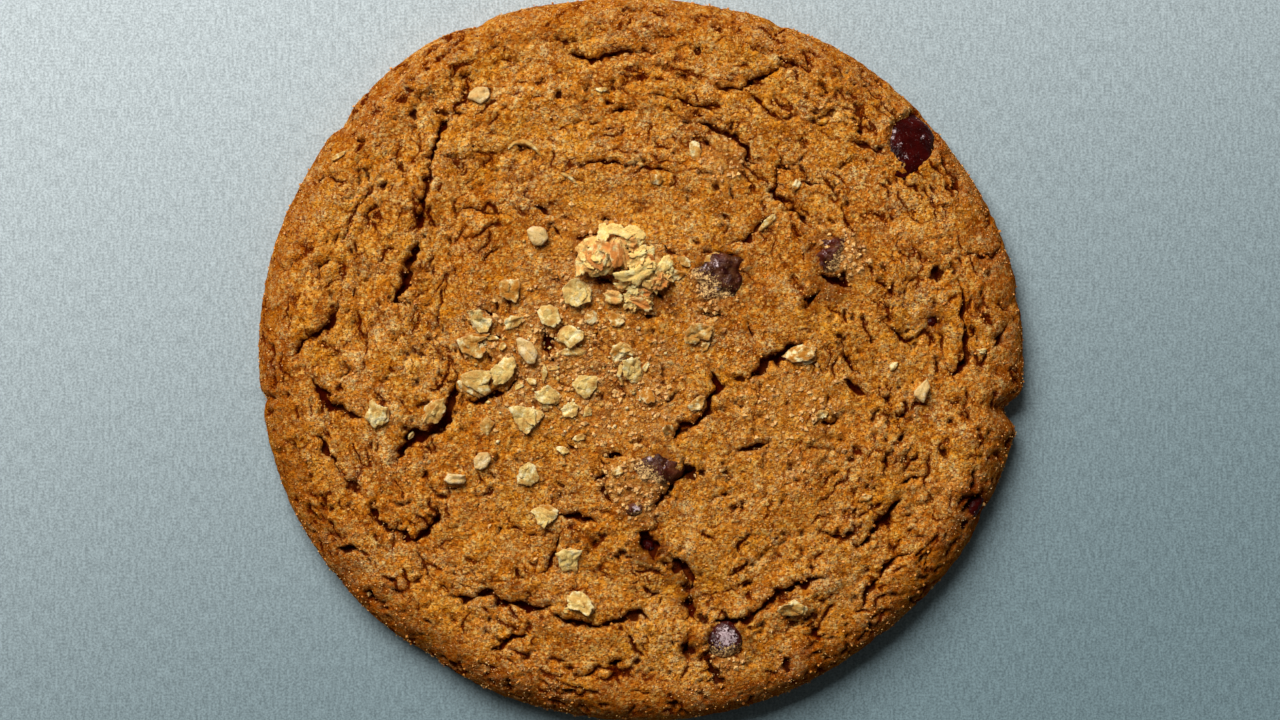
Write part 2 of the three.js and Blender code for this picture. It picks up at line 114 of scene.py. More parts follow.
# Cracks of the crust: width, depth and the way each one runs
CRACKS = [
    # left side, from the top down
    (1.1, 1.4, [(-28.3, 36.1), (-30.1, 34.2), (-31.0, 29.5), (-32.2, 22.8), (-33.4, 18.5)]),
    (1.5, 1.6, [(-33.1, 17.6), (-34.3, 14.0), (-35.0, 11.3), (-36.4, 9.0), (-34.9, 8.1)]),
    (1.0, 1.1, [(-33.4, 7.3), (-32.0, 6.3)]),
    (0.9, 1.0, [(-33.9, 4.7), (-32.8, 3.8)]),
    (1.0, 1.1, [(-36.6, 2.3), (-35.4, 3.7)]),
    (0.8, 0.9, [(-31.4, 4.2), (-29.0, 3.7)]),
    (1.8, 2.0, [(-27.2, -3.9), (-28.0, -6.2), (-28.8, -8.6), (-30.2, -10.0), (-32.7, -11.3),
                (-35.2, -12.9), (-36.3, -15.3)]),
    (1.1, 1.4, [(-40.4, -21.6), (-39.0, -24.1), (-36.2, -25.7), (-33.7, -27.1), (-31.6, -25.6),
                (-30.4, -23.8), (-30.0, -21.9)]),
    (0.9, 0.7, [(-33.3, -27.6), (-32.6, -30.0), (-31.2, -33.0)]),
    (0.7, 0.8, [(-43.3, 21.7), (-43.9, 17.5)]),
    (0.7, 0.8, [(-35.7, 30.9), (-38.1, 29.1)]),
    (0.7, 0.8, [(-41.1, 30.7), (-42.4, 28.7)]),
    (0.8, 0.8, [(-49.9, 26.3), (-47.1, 27.3), (-44.0, 26.4)]),
    (0.7, 0.8, [(-27.4, 21.5), (-25.1, 22.9), (-22.1, 21.7), (-20.1, 21.9)]),
    (0.4, 0.5, [(-25.6, 30.7), (-20.1, 30.7)]),
    (1.0, 1.2, [(-51.6, 0.6), (-50.2, 2.7), (-47.2, 4.1), (-45.7, 6.3), (-44.9, 9.0)]),
    (1.1, 1.3, [(-49.2, -2.5), (-47.6, -5.0), (-46.3, -7.4), (-44.4, -7.2), (-43.0, -8.6), (-41.2, -8.4)]),
    (1.0, 1.2, [(-49.0, -11.0), (-47.4, -11.8), (-46.8, -13.5), (-45.4, -15.6), (-44.4, -17.4)]),
    (1.1, 1.1, [(-44.2, -17.3), (-42.5, -19.3), (-41.6, -19.6)]),
    (0.8, 0.9, [(-42.5, 11.8), (-42.6, 9.4)]),
    (0.9, 0.9, [(-46.0, 15.2), (-47.6, 14.0), (-47.7, 12.2)]),
    (1.1, 1.0, [(-53.2, 13.2), (-51.3, 15.2)]),
    (0.9, 0.9, [(-52.2, 10.3), (-52.9, 8.8)]),
    (1.0, 0.9, [(-56.8, -5.4), (-54.8, -6.0)]),
    (1.1, 1.0, [(-54.8, -13.6), (-53.4, -14.0)]),
    (1.1, 1.0, [(-51.8, -12.6), (-50.8, -13.6)]),
    (1.0, 0.9, [(-53.8, -9.8), (-53.0, -9.0)]),
    (1.3, 1.3, [(-41.2, -34.2), (-39.8, -35.8), (-38.0, -36.6)]),
    (0.9, 1.0, [(-38.2, -34.3), (-35.0, -35.1)]),
    (0.9, 0.9, [(-28.9, -38.0), (-27.5, -39.2)]),
    # top
    (0.9, 1.2, [(-10.6, 45.5), (-6.2, 44.9), (-2.9, 45.8), (2.9, 45.9)]),
    (0.6, 0.8, [(-8.3, 47.6), (-5.9, 48.5)]),
    (0.6, 0.8, [(1.9, 47.9), (5.6, 48.2)]),
    (0.8, 0.9, [(-4.6, 37.1), (-1.1, 37.2)]),
    (0.8, 0.9, [(1.7, 39.5), (3.4, 39.4), (6.2, 38.5), (7.2, 37.8), (11.9, 37.5)]),
    (0.8, 1.1, [(11.4, 40.3), (15.2, 40.5), (16.9, 41.9), (19.7, 43.0), (23.5, 43.9)]),
    (0.6, 0.7, [(15.4, 47.4), (18.2, 46.0), (19.9, 45.4)]),
    (0.8, 0.7, [(16.4, 39.7), (18.2, 37.9), (20.9, 35.4)]),
    (1.0, 1.4, [(6.2, 35.4), (8.7, 35.5), (11.7, 34.2), (14.9, 32.7), (16.0, 31.7), (16.1, 29.4),
                (17.9, 29.2)]),
    (0.8, 1.0, [(-9.7, 28.3), (-8.1, 29.2), (-6.1, 29.8), (-2.6, 28.9), (-1.4, 28.8)]),
    (0.6, 0.8, [(-1.9, 27.3), (1.7, 28.4), (3.2, 28.4), (5.4, 27.5)]),
    (1.1, 1.2, [(-15.6, 22.7), (-12.6, 21.4)]),
    (0.9, 0.9, [(-13.4, 19.7), (-11.4, 18.2)]),
    (0.9, 0.9, [(-19.1, 22.9), (-17.4, 21.4)]),
    (0.9, 0.9, [(-9.9, 17.9), (-6.1, 18.9)]),
    (0.8, 0.9, [(-22.6, 48.3), (-19.7, 49.4)]),
    (0.6, 0.6, [(-16.9, 38.2), (-14.1, 39.4)]),
    (0.6, 0.6, [(-13.4, 42.2), (-11.4, 42.9)]),
    # upper right
    (1.0, 1.4, [(22.9, 28.2), (20.6, 28.6), (20.4, 25.7), (20.0, 24.7), (20.9, 23.4), (22.7, 22.2),
                (24.2, 21.2), (25.4, 19.7)]),
    (0.7, 0.8, [(19.7, 21.9), (16.9, 18.7), (15.7, 17.7), (12.7, 17.2)]),
    (0.6, 0.6, [(23.2, 26.7), (27.7, 26.3)]),
    (0.7, 0.7, [(29.9, 22.4), (31.7, 23.7), (33.2, 23.8)]),
    (0.9, 1.0, [(31.2, 32.5), (35.2, 31.5), (36.7, 30.8)]),
    (0.6, 0.6, [(22.2, 35.9), (23.9, 36.8)]),
    (0.6, 0.6, [(24.7, 35.4), (27.2, 34.8), (28.7, 35.9)]),
    (0.9, 0.9, [(46.4, 27.4), (47.3, 25.7), (47.9, 23.7)]),
    (0.7, 0.7, [(43.9, 20.5), (45.9, 20.9)]),
    (0.7, 0.7, [(33.0, 42.4), (35.8, 40.6)]),
    (2.6, 1.6, [(26.9, 12.6), (28.6, 12.1), (31.0, 11.2)]),
    (2.4, 1.6, [(26.4, 10.2), (25.3, 8.8), (24.7, 7.7)]),
    (2.0, 1.2, [(42.3, 6.0), (44.7, 5.6)]),
    (2.0, 1.4, [(48.9, -22.8), (50.2, -21.4), (51.2, -20.0)]),
    # middle
    (1.1, 1.1, [(8.6, 6.6), (10.5, 6.9), (12.6, 6.2)]),
    (1.0, 1.0, [(8.8, 16.2), (12.5, 15.8), (15.0, 15.2)]),
    (1.2, 1.4, [(15.9, 5.6), (16.3, 4.6), (17.0, 2.9)]),
    (1.4, 1.7, [(24.0, 2.9), (21.0, 1.0), (18.2, -1.0), (16.6, -2.7), (15.2, -4.0)]),
    (1.0, 1.3, [(10.3, -1.6), (11.9, -3.8), (10.2, -5.8), (9.8, -8.0), (8.8, -9.3), (6.3, -9.8),
                (5.4, -11.6)]),
    (0.5, 0.6, [(17.2, -7.0), (17.1, -11.0)]),
    (0.5, 0.6, [(12.4, -11.0), (12.9, -13.0)]),
    (1.2, 1.2, [(14.3, -13.4), (17.5, -12.9), (19.6, -12.0)]),
    (1.4, 1.5, [(-5.2, -14.4), (-2.3, -14.3)]),
    (1.1, 1.2, [(-7.7, -17.8), (-5.2, -17.0)]),
    (1.2, 1.0, [(-5.0, -17.4), (-5.2, -19.6), (-3.8, -21.6)]),
    (1.3, 1.5, [(7.9, -16.6), (5.4, -17.6), (3.9, -20.1), (2.2, -22.0)]),
    (1.2, 1.5, [(-12.0, -23.0), (-9.0, -23.5), (-6.5, -24.0)]),
    (0.8, 0.8, [(-11.5, -25.5), (-13.2, -29.6), (-14.0, -31.4), (-15.7, -32.1)]),
    (1.5, 1.5, [(-14.0, 4.6), (-13.7, 2.0), (-12.8, -0.2)]),
    (0.35, 0.4, [(-4.8, -2.7), (-1.9, -4.9), (-0.2, -6.8), (3.0, -6.7)]),
    (0.35, 0.4, [(-4.2, -8.0), (-4.6, -9.0), (-3.6, -9.6)]),
    (1.1, 1.1, [(-23.8, 7.6), (-21.3, 6.9)]),
    (1.2, 1.2, [(-6.2, 20.7), (-4.0, 21.0)]),
    (0.9, 1.0, [(-9.9, 18.4), (-8.7, 17.6)]),
    (0.9, 0.9, [(-13.3, 12.6), (-12.2, 11.6)]),
    (1.3, 1.1, [(-6.8, 12.4), (-5.0, 11.6), (-3.5, 11.2)]),
    (1.8, 1.4, [(2.7, 10.0), (3.4, 9.0)]),
    (1.1, 0.9, [(-0.4, 7.2), (1.0, 6.5), (2.4, 6.4)]),
    (1.2, 1.0, [(2.6, 17.1), (4.2, 16.4), (6.0, 15.5)]),
    (0.9, 0.9, [(-12.4, 5.6), (-11.0, 4.6)]),
    (1.4, 1.4, [(-28.2, 36.5), (-25.9, 37.1)]),
    (0.9, 1.0, [(-28.2, 42.7), (-27.7, 39.6)]),
    (1.0, 1.0, [(-27.3, 2.8), (-26.5, 0.6), (-25.8, 0.0)]),
    (1.1, 1.2, [(-26.0, -5.9), (-23.7, -6.1), (-19.6, -4.4), (-18.2, -3.2)]),
    (0.7, 0.7, [(-39.0, -6.1), (-37.0, -6.3)]),
    (1.2, 1.2, [(-11.0, -12.1), (-9.4, -13.9)]),
    (0.9, 0.9, [(-29.6, -19.1), (-26.0, -19.2)]),
    (0.7, 0.7, [(-24.3, -20.5), (-24.2, -23.0)]),
    # lower half
    (1.2, 1.5, [(-27.5, -34.7), (-25.8, -35.8), (-24.0, -35.3), (-22.5, -34.4), (-20.8, -35.8),
                (-17.0, -37.0), (-13.5, -36.7)]),
    (1.2, 1.5, [(-13.0, -38.3), (-10.0, -39.1), (-6.4, -39.8), (-3.0, -38.6), (-1.8, -38.0),
                (0.2, -38.0), (1.7, -39.0)]),
    (1.0, 1.2, [(-22.0, -44.0), (-20.5, -42.3), (-19.0, -41.2), (-16.6, -40.8)]),
    (0.9, 1.0, [(-10.0, -47.3), (-7.0, -47.0), (-5.8, -45.9)]),
    (1.3, 1.2, [(-4.8, -45.0), (-2.6, -45.0)]),
    (1.3, 1.0, [(4.0, -29.6), (6.4, -30.6), (7.5, -32.5), (7.5, -36.0), (7.3, -38.0), (8.6, -39.0)]),
    (1.3, 1.1, [(7.4, -40.4), (7.2, -43.0), (7.0, -45.0)]),
    (1.2, 1.4, [(10.4, -38.8), (13.0, -39.1), (16.0, -38.3), (18.4, -36.8), (20.5, -35.0),
                (23.0, -33.8), (26.0, -33.0), (28.0, -32.2)]),
    (1.3, 1.2, [(10.3, -44.2), (10.3, -46.0), (11.7, -48.0)]),
    (0.7, 0.7, [(10.0, -20.9), (14.0, -20.0)]),
    (1.3, 1.6, [(32.4, -28.0), (34.3, -26.6), (35.9, -24.0), (37.8, -22.0), (39.0, -20.3)]),
    (1.0, 1.2, [(33.0, -37.5), (33.8, -35.3), (35.2, -33.0), (37.0, -30.5), (38.5, -29.2), (40.3, -28.7)]),
    (0.9, 1.0, [(28.0, -26.7), (30.8, -26.2), (32.8, -25.5)]),
    (0.7, 0.8, [(42.7, -28.4), (42.5, -31.2)]),
    (0.7, 0.7, [(40.5, -26.5), (43.0, -26.3)]),
    (1.1, 1.2, [(38.5, -18.0), (41.6, -17.5)]),
    (1.6, 1.3, [(34.3, -39.0), (35.2, -41.0)]),
    (0.8, 0.8, [(36.6, -13.0), (36.2, -17.0)]),
    (1.0, 1.0, [(37.6, -12.8), (39.6, -11.0)]),
    (0.9, 0.9, [(38.2, -9.2), (39.8, -7.4)]),
    (0.9, 0.9, [(34.3, -7.6), (35.0, -8.8)]),
    (0.9, 0.9, [(25.0, -13.5), (26.8, -13.2)]),
    (1.0, 1.0, [(26.0, -9.7), (28.8, -9.6), (30.2, -8.0)]),
    (0.9, 0.9, [(-0.6, -51.2), (-1.6, -53.4)]),
    # right side
    (1.1, 1.1, [(30.0, 2.6), (30.6, 0.6), (31.6, -1.0), (32.8, -2.2)]),
    (1.0, 1.0, [(30.4, -3.0), (32.0, -4.2), (33.9, -5.1)]),
    (0.9, 0.9, [(34.6, 9.0), (35.5, 8.2)]),
    (0.9, 0.9, [(36.0, 6.4), (38.3, 4.0), (40.3, 2.0), (40.0, 1.0)]),
    (1.0, 1.2, [(47.3, 11.8), (48.6, 9.4), (48.3, 4.0), (48.7, 0.6), (47.6, -1.2), (46.3, -2.8)]),
    (0.9, 0.9, [(43.8, 0.0), (44.8, -1.5)]),
    (1.4, 1.4, [(52.6, 2.0), (53.8, 3.2), (55.0, 4.8)]),
    (1.3, 1.2, [(53.3, 8.3), (54.5, 8.4), (56.0, 7.3)]),
    (0.8, 0.8, [(47.3, 15.6), (53.0, 15.6), (54.5, 16.5)]),
    (1.1, 1.0, [(44.8, 15.9), (46.3, 15.8)]),
]

# Pits: x, y, radius, depth
PITS = [
    (-34.0, 36.8, 0.7, 1.1),
    (-34.6, 40.3, 0.8, 0.9),
    (-40.4, 27.8, 0.6, 0.8),
    (-38.0, 26.3, 0.6, 0.8),
    (-42.3, 33.0, 0.6, 0.8),
    (-4.2, 40.5, 0.6, 0.8),
    (11.4, 25.7, 0.6, 0.8),
    (5.6, -10.9, 0.8, 1.3),
    (-44.2, -28.3, 1.0, 1.2),
    (-46.6, -22.3, 0.8, 0.9),
    (-31.3, 8.3, 0.5, 0.7),
    (-40.5, 12.3, 0.5, 0.7),
    (21.8, -6.5, 0.7, 0.8),
    (13.6, -16.7, 0.8, 0.8),
    (31.0, -14.5, 0.8, 0.8),
    (45.2, -13.8, 0.9, 0.9),
    (41.0, -36.0, 0.9, 0.8),
    (21.9, -45.5, 0.8, 0.9),
    (26.2, -40.7, 0.7, 0.9),
    (22.7, -39.3, 0.9, 0.7),
    (-19.5, -48.5, 0.8, 0.9),
    (-10.5, -49.5, 0.7, 0.8),
    (7.7, -16.4, 1.3, 1.5),
    (31.9, 6.1, 0.7, 0.7),
    (1.3, -27.5, 1.4, 1.6),
    (12.0, -48.0, 1.0, 0.9),
    (44.2, 13.0, 1.05, 1.2),
    (5.2, -30.4, 1.2, 1.0),
    (7.2, -33.9, 0.9, 0.8),
    (7.4, -36.2, 1.0, 0.9),
    (9.3, -38.6, 0.9, 0.8),
    (7.4, -43.2, 1.1, 0.9),
    (11.5, -47.1, 1.0, 0.9),
    (40.4, 29.7, 1.6, 1.2),
]


# ---- Noise, in millimetres ----

def smoothstep(low, high, x):
    """0 below low, 1 above high, smooth between."""
    t = np.clip((x - low) / (high - low), 0.0, 1.0)
    return t * t * (3 - 2 * t)


def lattice_random(ix, iy, iz, seed):
    """A fixed random number from 0 to 1 for each corner of a whole-number lattice."""
    n = ix.astype(np.uint32) * np.uint32(374761393)
    n ^= iy.astype(np.uint32) * np.uint32(668265263)
    n ^= iz.astype(np.uint32) * np.uint32(2246822519)
    n ^= np.uint32(seed * 40503 + 977)
    n = (n ^ (n >> np.uint32(15))) * np.uint32(2246822519)
    n = (n ^ (n >> np.uint32(13))) * np.uint32(3266489917)
    n ^= n >> np.uint32(16)
    return n.astype(np.float64) / 4294967295.0


def noise(points, wavelength, seed):
    """Smooth noise from about -1 to 1 at the rows of points, with bumps a wavelength apart."""
    scaled = points / wavelength + 1000.0
    cell = np.floor(scaled).astype(np.int64)
    part = scaled - cell
    fade = part ** 3 * (part * (part * 6 - 15) + 10)
    total = np.zeros(len(points))
    for corner in np.ndindex(2, 2, 2):
        ix, iy, iz = (cell[:, axis] + corner[axis] for axis in range(3))
        slope = [lattice_random(ix, iy, iz, seed * 3 + axis) * 2 - 1 for axis in range(3)]
        height = sum(slope[axis] * (part[:, axis] - corner[axis]) for axis in range(3))
        weight = np.ones(len(points))
        for axis in range(3):
            weight *= fade[:, axis] if corner[axis] else 1 - fade[:, axis]
        total += height * weight
    return total * 1.6


def cells(u, v, seed):
    """For points on a plane of scattered cells one unit apart: distance to the nearest edge between cells,
    and the cell's own random number."""
    cu = np.floor(u).astype(np.int64)
    cv = np.floor(v).astype(np.int64)
    first = np.full(len(u), 9.0)
    second = np.full(len(u), 9.0)
    own = np.zeros(len(u))
    flat = np.zeros(len(u), np.int64)
    for du in (-1, 0, 1):
        for dv in (-1, 0, 1):
            iu = cu + du + 5000
            iv = cv + dv + 5000
            pu = cu + du + lattice_random(iu, iv, flat, seed)
            pv = cv + dv + lattice_random(iu, iv, flat + 1, seed)
            distance = np.hypot(u - pu, v - pv)
            nearer = distance < first
            second = np.where(nearer, first, np.minimum(second, distance))
            own = np.where(nearer, lattice_random(iu, iv, flat + 2, seed), own)
            first = np.minimum(first, distance)
    return (second - first) / 2, own


# ---- The dough's plain form ----

def outline_radius(angle):
    """Distance from the middle to the edge: an ellipse with lobes, flats and small dents."""
    radius = 1 / np.hypot(np.cos(angle) / HALF_WIDTH, np.sin(angle) / HALF_DEPTH)
    degrees = np.degrees(angle)
    for at, spread, height in OUTLINE_LOBES:
        off = (degrees - at + 180) % 360 - 180
        radius += height * np.exp(-(off / spread) ** 2)
    return radius


def edge_dent(angle):
    """How deep the edge's small dents are in one direction."""
    degrees = np.degrees(angle)
    depth = np.zeros_like(angle)
    for at, spread, deep in EDGE_DENTS:
        off = (degrees - at + 180) % 360 - 180
        depth += deep * np.exp(-(off / spread) ** 2)
    return depth


def top_profile():
    """Radius, height and outward slope of each ring of the top, evenly spaced along the section."""
    dome = np.linspace(0, SHOULDER, 400)
    turn = np.linspace(0, math.pi / 2, 200)[1:]
    radius = np.concatenate([dome, SHOULDER + RIM_REACH * np.sin(turn)])
    height = np.concatenate([
        SHOULDER_HEIGHT + (CROWN_HEIGHT - SHOULDER_HEIGHT) * (1 - (dome / SHOULDER) ** 2),
        WIDEST_HEIGHT + (SHOULDER_HEIGHT - WIDEST_HEIGHT) * np.cos(turn),
    ])
    return even_steps(radius, height, TOP_RINGS)


def low_profile():
    """The same for the rings from the outermost line down to the base."""
    turn = np.linspace(0, math.pi / 2, 60)
    radius = BASE_RADIUS + BASE_INSET * np.cos(turn)
    height = WIDEST_HEIGHT * (1 - np.sin(turn))
    return even_steps(radius, height, LOW_RINGS)


def even_steps(radius, height, rings):
    """Points at even distances along a section, with their outward normals."""
    length = np.concatenate([[0], np.cumsum(np.hypot(np.diff(radius), np.diff(height)))])
    at = np.linspace(0, length[-1], rings + 1)
    r = np.interp(at, length, radius)
    z = np.interp(at, length, height)
    dr = np.interp(at, length, np.gradient(radius, length))
    dz = np.interp(at, length, np.gradient(height, length))
    size = np.hypot(dr, dz)
    return r, z, -dz / size, dr / size


def ring_points(radius, height, out, up, count):
    """One ring of the dough as rows of x, y, z and the surface's normal."""
    angle = np.arange(count) * 2 * math.pi / count
    scale = outline_radius(angle) / HALF_WIDTH
    x, y = radius * scale * np.cos(angle), radius * scale * np.sin(angle)
    place = np.column_stack([x, y, np.full(count, height)])
    normal = np.column_stack([out * np.cos(angle), out * np.sin(angle), np.full(count, up)])
    return place, normal


def fan_faces(inner, outer, inner_count, outer_count):
    """Triangles between two rings, the outer one with as many points or more."""
    faces = []
    i = j = 0
    while i < inner_count or j < outer_count:
        a, b = inner + i % inner_count, outer + j % outer_count
        if j < outer_count and (j + 1) * inner_count <= (i + 1) * outer_count:
            faces.append((a, b, outer + (j + 1) % outer_count))
            j += 1
        elif i < inner_count:
            faces.append((a, b, inner + (i + 1) % inner_count))
            i += 1
        else:
            faces.append((a, b, outer + (j + 1) % outer_count))
            j += 1
    return faces


def dough_rings():
    """Every ring of the dough, from the middle of the top round the rim to the middle of the base."""
    rings = []
    for n, (r, z, out, up) in enumerate(zip(*top_profile())):
        rings.append(ring_points(r, z, out, up, max(6 * n, 1)))
    for r, z, out, up in list(zip(*low_profile()))[1:]:
        rings.append(ring_points(r, z, out, up, 6 * TOP_RINGS))
    under = BASE_RADIUS * (1 - (np.arange(1, UNDER_RINGS + 1) / UNDER_RINGS) ** 1.4)
    outermost = 6 * TOP_RINGS
    counts = [outermost // 2, outermost // 4] + [outermost // 8] * (UNDER_RINGS - 3)
    for r, count in zip(under[:-1], counts):
        rings.append(ring_points(r, 0.0, 0.0, -1.0, count))
    rings.append(ring_points(0.0, 0.0, 0.0, -1.0, 1))
    return rings


def dough_faces(rings):
    """Triangles between all the rings, facing out."""
    starts = np.concatenate([[0], np.cumsum([len(ring[0]) for ring in rings])])
    faces = []
    for n in range(len(rings) - 1):
        a, b = len(rings[n][0]), len(rings[n + 1][0])
        if a <= b:
            faces += fan_faces(int(starts[n]), int(starts[n + 1]), a, b)
        else:
            faces += [(p, r, q) for p, q, r in fan_faces(int(starts[n + 1]), int(starts[n]), b, a)]
    return faces


# ---- The dough's relief ----

def waviness(x, y):
    """The broad mounds, and the low swells that run round the top."""
    height = sum(high * np.exp(-((x - cx) ** 2 + (y - cy) ** 2) / radius ** 2)
                 for cx, cy, radius, high in MOUNDS)
    radius = np.hypot(x, y)
    wander = 1.4 * np.sin(2 * np.arctan2(y, x) + 0.6)
    swells = 0.3 * np.sin(2 * math.pi * radius / 12 + wander)
    return height + swells * smoothstep(12, 36, radius)


def way_distance(x, y, way):
    """Distance to a crack's line, with a sign for its side, the distance along it from its nearer end, and
    the way straight out from the line."""
    nearest = np.full(len(x), 99.0)
    side = np.zeros(len(x))
    along = np.zeros(len(x))
    away = np.zeros((len(x), 2))
    points = np.array(way)
    spans = np.hypot(*np.diff(points, axis=0).T)
    total = spans.sum()
    start = 0.0
    for (ax, ay), (bx, by), span in zip(points[:-1], points[1:], spans):
        t = ((x - ax) * (bx - ax) + (y - ay) * (by - ay)) / span ** 2
        t = np.clip(t, 0, 1)
        off = np.column_stack([x - ax - t * (bx - ax), y - ay - t * (by - ay)])
        distance = np.hypot(*off.T)
        nearer = distance < nearest
        nearest = np.where(nearer, distance, nearest)
        turn = np.where((bx - ax) * off[:, 1] - (by - ay) * off[:, 0] < 0, -1, 1)
        side = np.where(nearer, distance * turn, side)
        along = np.where(nearer, start + t * span, along)
        away = np.where(nearer[:, None], off / np.maximum(distance, 1e-6)[:, None], away)
        start += span
    return side, np.minimum(along, total - along), away


def chosen_cracks(x, y, place):
    """The cracks in the list, with ragged edges, and places where each one closes up: depth, openness, raised
    lips, the crust's overhang, and the line that the material follows."""
    wx = x + 0.5 * noise(place, 2.8, 11) + 0.4 * noise(place, 1.2, 12)
    wy = y + 0.5 * noise(place, 2.8, 13) + 0.4 * noise(place, 1.2, 14)
    swell = np.clip(0.95 + 0.8 * noise(place, 3.0, 15) + 0.9 * noise(place, 1.1, 16), 0.0, 1.9)
    depth = np.zeros(len(x))
    opened = np.zeros(len(x))
    lips = np.zeros(len(x))
    overhang = np.zeros((len(x), 2))
    gap = np.full(len(x), 9.0)
    line = np.column_stack([gap, -gap, 0 * gap])
    for width, deep, way in CRACKS:
        low = np.min(way, axis=0) - 4
        high = np.max(way, axis=0) + 4
        near = np.flatnonzero((wx > low[0]) & (wx < high[0]) & (wy > low[1]) & (wy < high[1]))
        side, along, away = way_distance(wx[near], wy[near], way)
        distance = np.abs(side)
        least = 0.75 * smoothstep(1.2, 1.8, width)
        half = width * 0.5 * np.maximum(swell[near], least)
        half = half * (0.1 + 0.9 * smoothstep(-0.6, 2.4, along)) - 0.05
        worn = smoothstep(0.0, 0.25, half)
        inside = smoothstep(half + 0.2, half - 0.2, distance) * worn
        bowl = smoothstep(half * 2 + 1.3, 0, distance) * smoothstep(-1.5, 1.0, along)
        depth[near] = np.maximum(depth[near], deep * (0.85 * inside + 0.28 * bowl))
        opened[near] = np.maximum(opened[near], inside)
        lips[near] = np.maximum(lips[near], np.exp(-((distance - half - 0.9) / 0.8) ** 2) * min(deep, 1.2))
        closer = distance - half < gap[near]
        at = near[closer]
        gap[at] = (distance - half)[closer]
        line[at, 0] = side[closer]
        line[at, 1] = half[closer]
        line[at, 2] = smoothstep(0.9, 0.45, distance - half)[closer]
        pull = 0.22 * worn * smoothstep(1.2, 0.1, distance - half) * smoothstep(-0.25, 0.1, distance - half)
        overhang[at] = -(away * pull[:, None])[closer]
    return depth, opened, lips, overhang, line


def ringwise(x, y, run, spacing, shift):
    """Places for noise whose bumps are drawn out round the cookie: one unit is run by spacing millimetres."""
    radius = np.hypot(x, y)
    round_way = np.column_stack([x, y]) / np.maximum(radius, 1)[:, None] * 40 / run
    return np.column_stack([round_way, (radius + shift) / spacing])


def level_line(field, place, least_slope):
    """A field's value at each point, and the distance to the nearest line where the field is nought (mm)."""
    step = 0.12
    here = field(place)
    slope_x = (field(place + (step, 0, 0)) - here) / step
    slope_y = (field(place + (0, step, 0)) - here) / step
    return here, here / np.maximum(np.hypot(slope_x, slope_y), least_slope)


# Lumps of the crust: size, height, width of the creases between them, seed
LUMP_KINDS = [
    (7.0, 0.58, 0.56, 31),
    (3.8, 0.3, 0.46, 32),
    (2.0, 0.17, 0.34, 33),
]
# Shingles of the crust, each at its own height: size, height, seed
SHINGLE_KINDS = [
    (6.0, 0.36, 35),
    (2.6, 0.14, 36),
]


def lump_field(place, size, seed):
    """Noise whose lumps are drawn out round the cookie near its rim, bent and made ragged."""
    near_rim = 0.7 * smoothstep(18, 36, np.hypot(place[:, 0], place[:, 1]))
    flat = np.zeros(len(place))
    bent = place + np.column_stack([noise(place, 3.5, 21), noise(place, 3.5, 22), flat]) * 0.7
    bent += np.column_stack([noise(place, 1.4, 23), noise(place, 1.4, 24), flat]) * 0.4
    even = noise(bent, size, seed)
    shift = bent[:, 0] - place[:, 0]
    drawn = noise(ringwise(bent[:, 0], bent[:, 1], size * 1.3, size * 0.9, shift), 1.0, seed + 10)
    return even * (1 - near_rim) + drawn * near_rim


def crust_lumps(x, y, place):
    """The crust's swollen lumps and the creases between some of them: height in all, height of the small
    lumps, how deep the creases are, and their lines. All of it is livelier towards the rim."""
    radius = np.hypot(x, y)
    near_rim = smoothstep(24, 40, radius)
    lively = 0.5 + 0.5 * smoothstep(20, 42, radius)
    height = np.zeros(len(x))
    small = np.zeros(len(x))
    crease = np.zeros(len(x))
    lines = []
    for size, high, wide, seed in LUMP_KINDS:
        value, gap = level_line(lambda at: lump_field(at, size, seed), place, 0.5 / size)
        split = noise(place, 3.4, seed + 20) + 0.5 * noise(place, 1.2, seed + 21)
        split = smoothstep(0.32, 0.9, split + 0.08 * near_rim)
        rise = split * (np.minimum(np.abs(value), 0.7) ** 0.75 - 0.38) + (1 - split) * 0.55 * value
        rise *= high * lively
        height += rise
        if size < 5:
            small += rise
        half = wide / 2 * split * lively - 0.04
        inside = smoothstep(half + 0.25, 0, np.abs(gap)) * smoothstep(0, 0.12, half)
        crease = np.maximum(crease, inside * (0.55 + high / 2))
        lines.append(np.column_stack([gap, half, np.ones(len(x))]))
    bent_x = x + 0.9 * noise(place, 3.5, 21)
    bent_y = y + 0.9 * noise(place, 3.5, 22)
    for size, high, seed in SHINGLE_KINDS:
        edge, own = cells(bent_x / size, bent_y / size, seed)
        height += high * lively * (own - 0.5) * smoothstep(0, 0.5, edge * size)
    return height, small, crease, lines


def fine_field(place, run, spacing, seed):
    """Noise whose lumps run round the cookie."""
    shift = 0.8 * noise(place, 3.2, 21) + 0.45 * noise(place, 1.3, 22)
    return noise(ringwise(place[:, 0], place[:, 1], run, spacing, shift), 1.0, 31 + seed)


# Fine cracks: spacing, how far they run, width, seed, depth
FINE_CRACK_KINDS = [
    (3.4, 11.0, 0.6, 41, 0.8),
    (2.2, 7.0, 0.45, 43, 0.5),
]
GASHES_TRIED = 950
GASHES_REACH = 54              # how far out from the middle the small gashes lie


def fine_cracks(x, y, place):
    """Depth of the small cracks, longer ones round the cookie near its rim, and their lines."""
    near_rim = smoothstep(20, 34, np.hypot(x, y))
    depth = np.zeros(len(x))
    lines = []
    for spacing, run, wide, seed, deep in FINE_CRACK_KINDS:
        _, gap = level_line(lambda at: fine_field(at, run, spacing, seed), place, 0.5 / spacing)
        broken = smoothstep(0.12, 0.6, noise(place, 5.0, seed) + 0.7 * noise(place, 1.8, seed + 1))
        half = wide / 2 * broken * (0.4 + 0.6 * near_rim) - 0.04
        inside = deep * smoothstep(half + 0.15, half * 0.3, np.abs(gap))
        depth = np.maximum(depth, inside * smoothstep(0.01, 0.1, half))
        lines.append(np.column_stack([gap, half, np.ones(len(x))]))
    return depth, lines


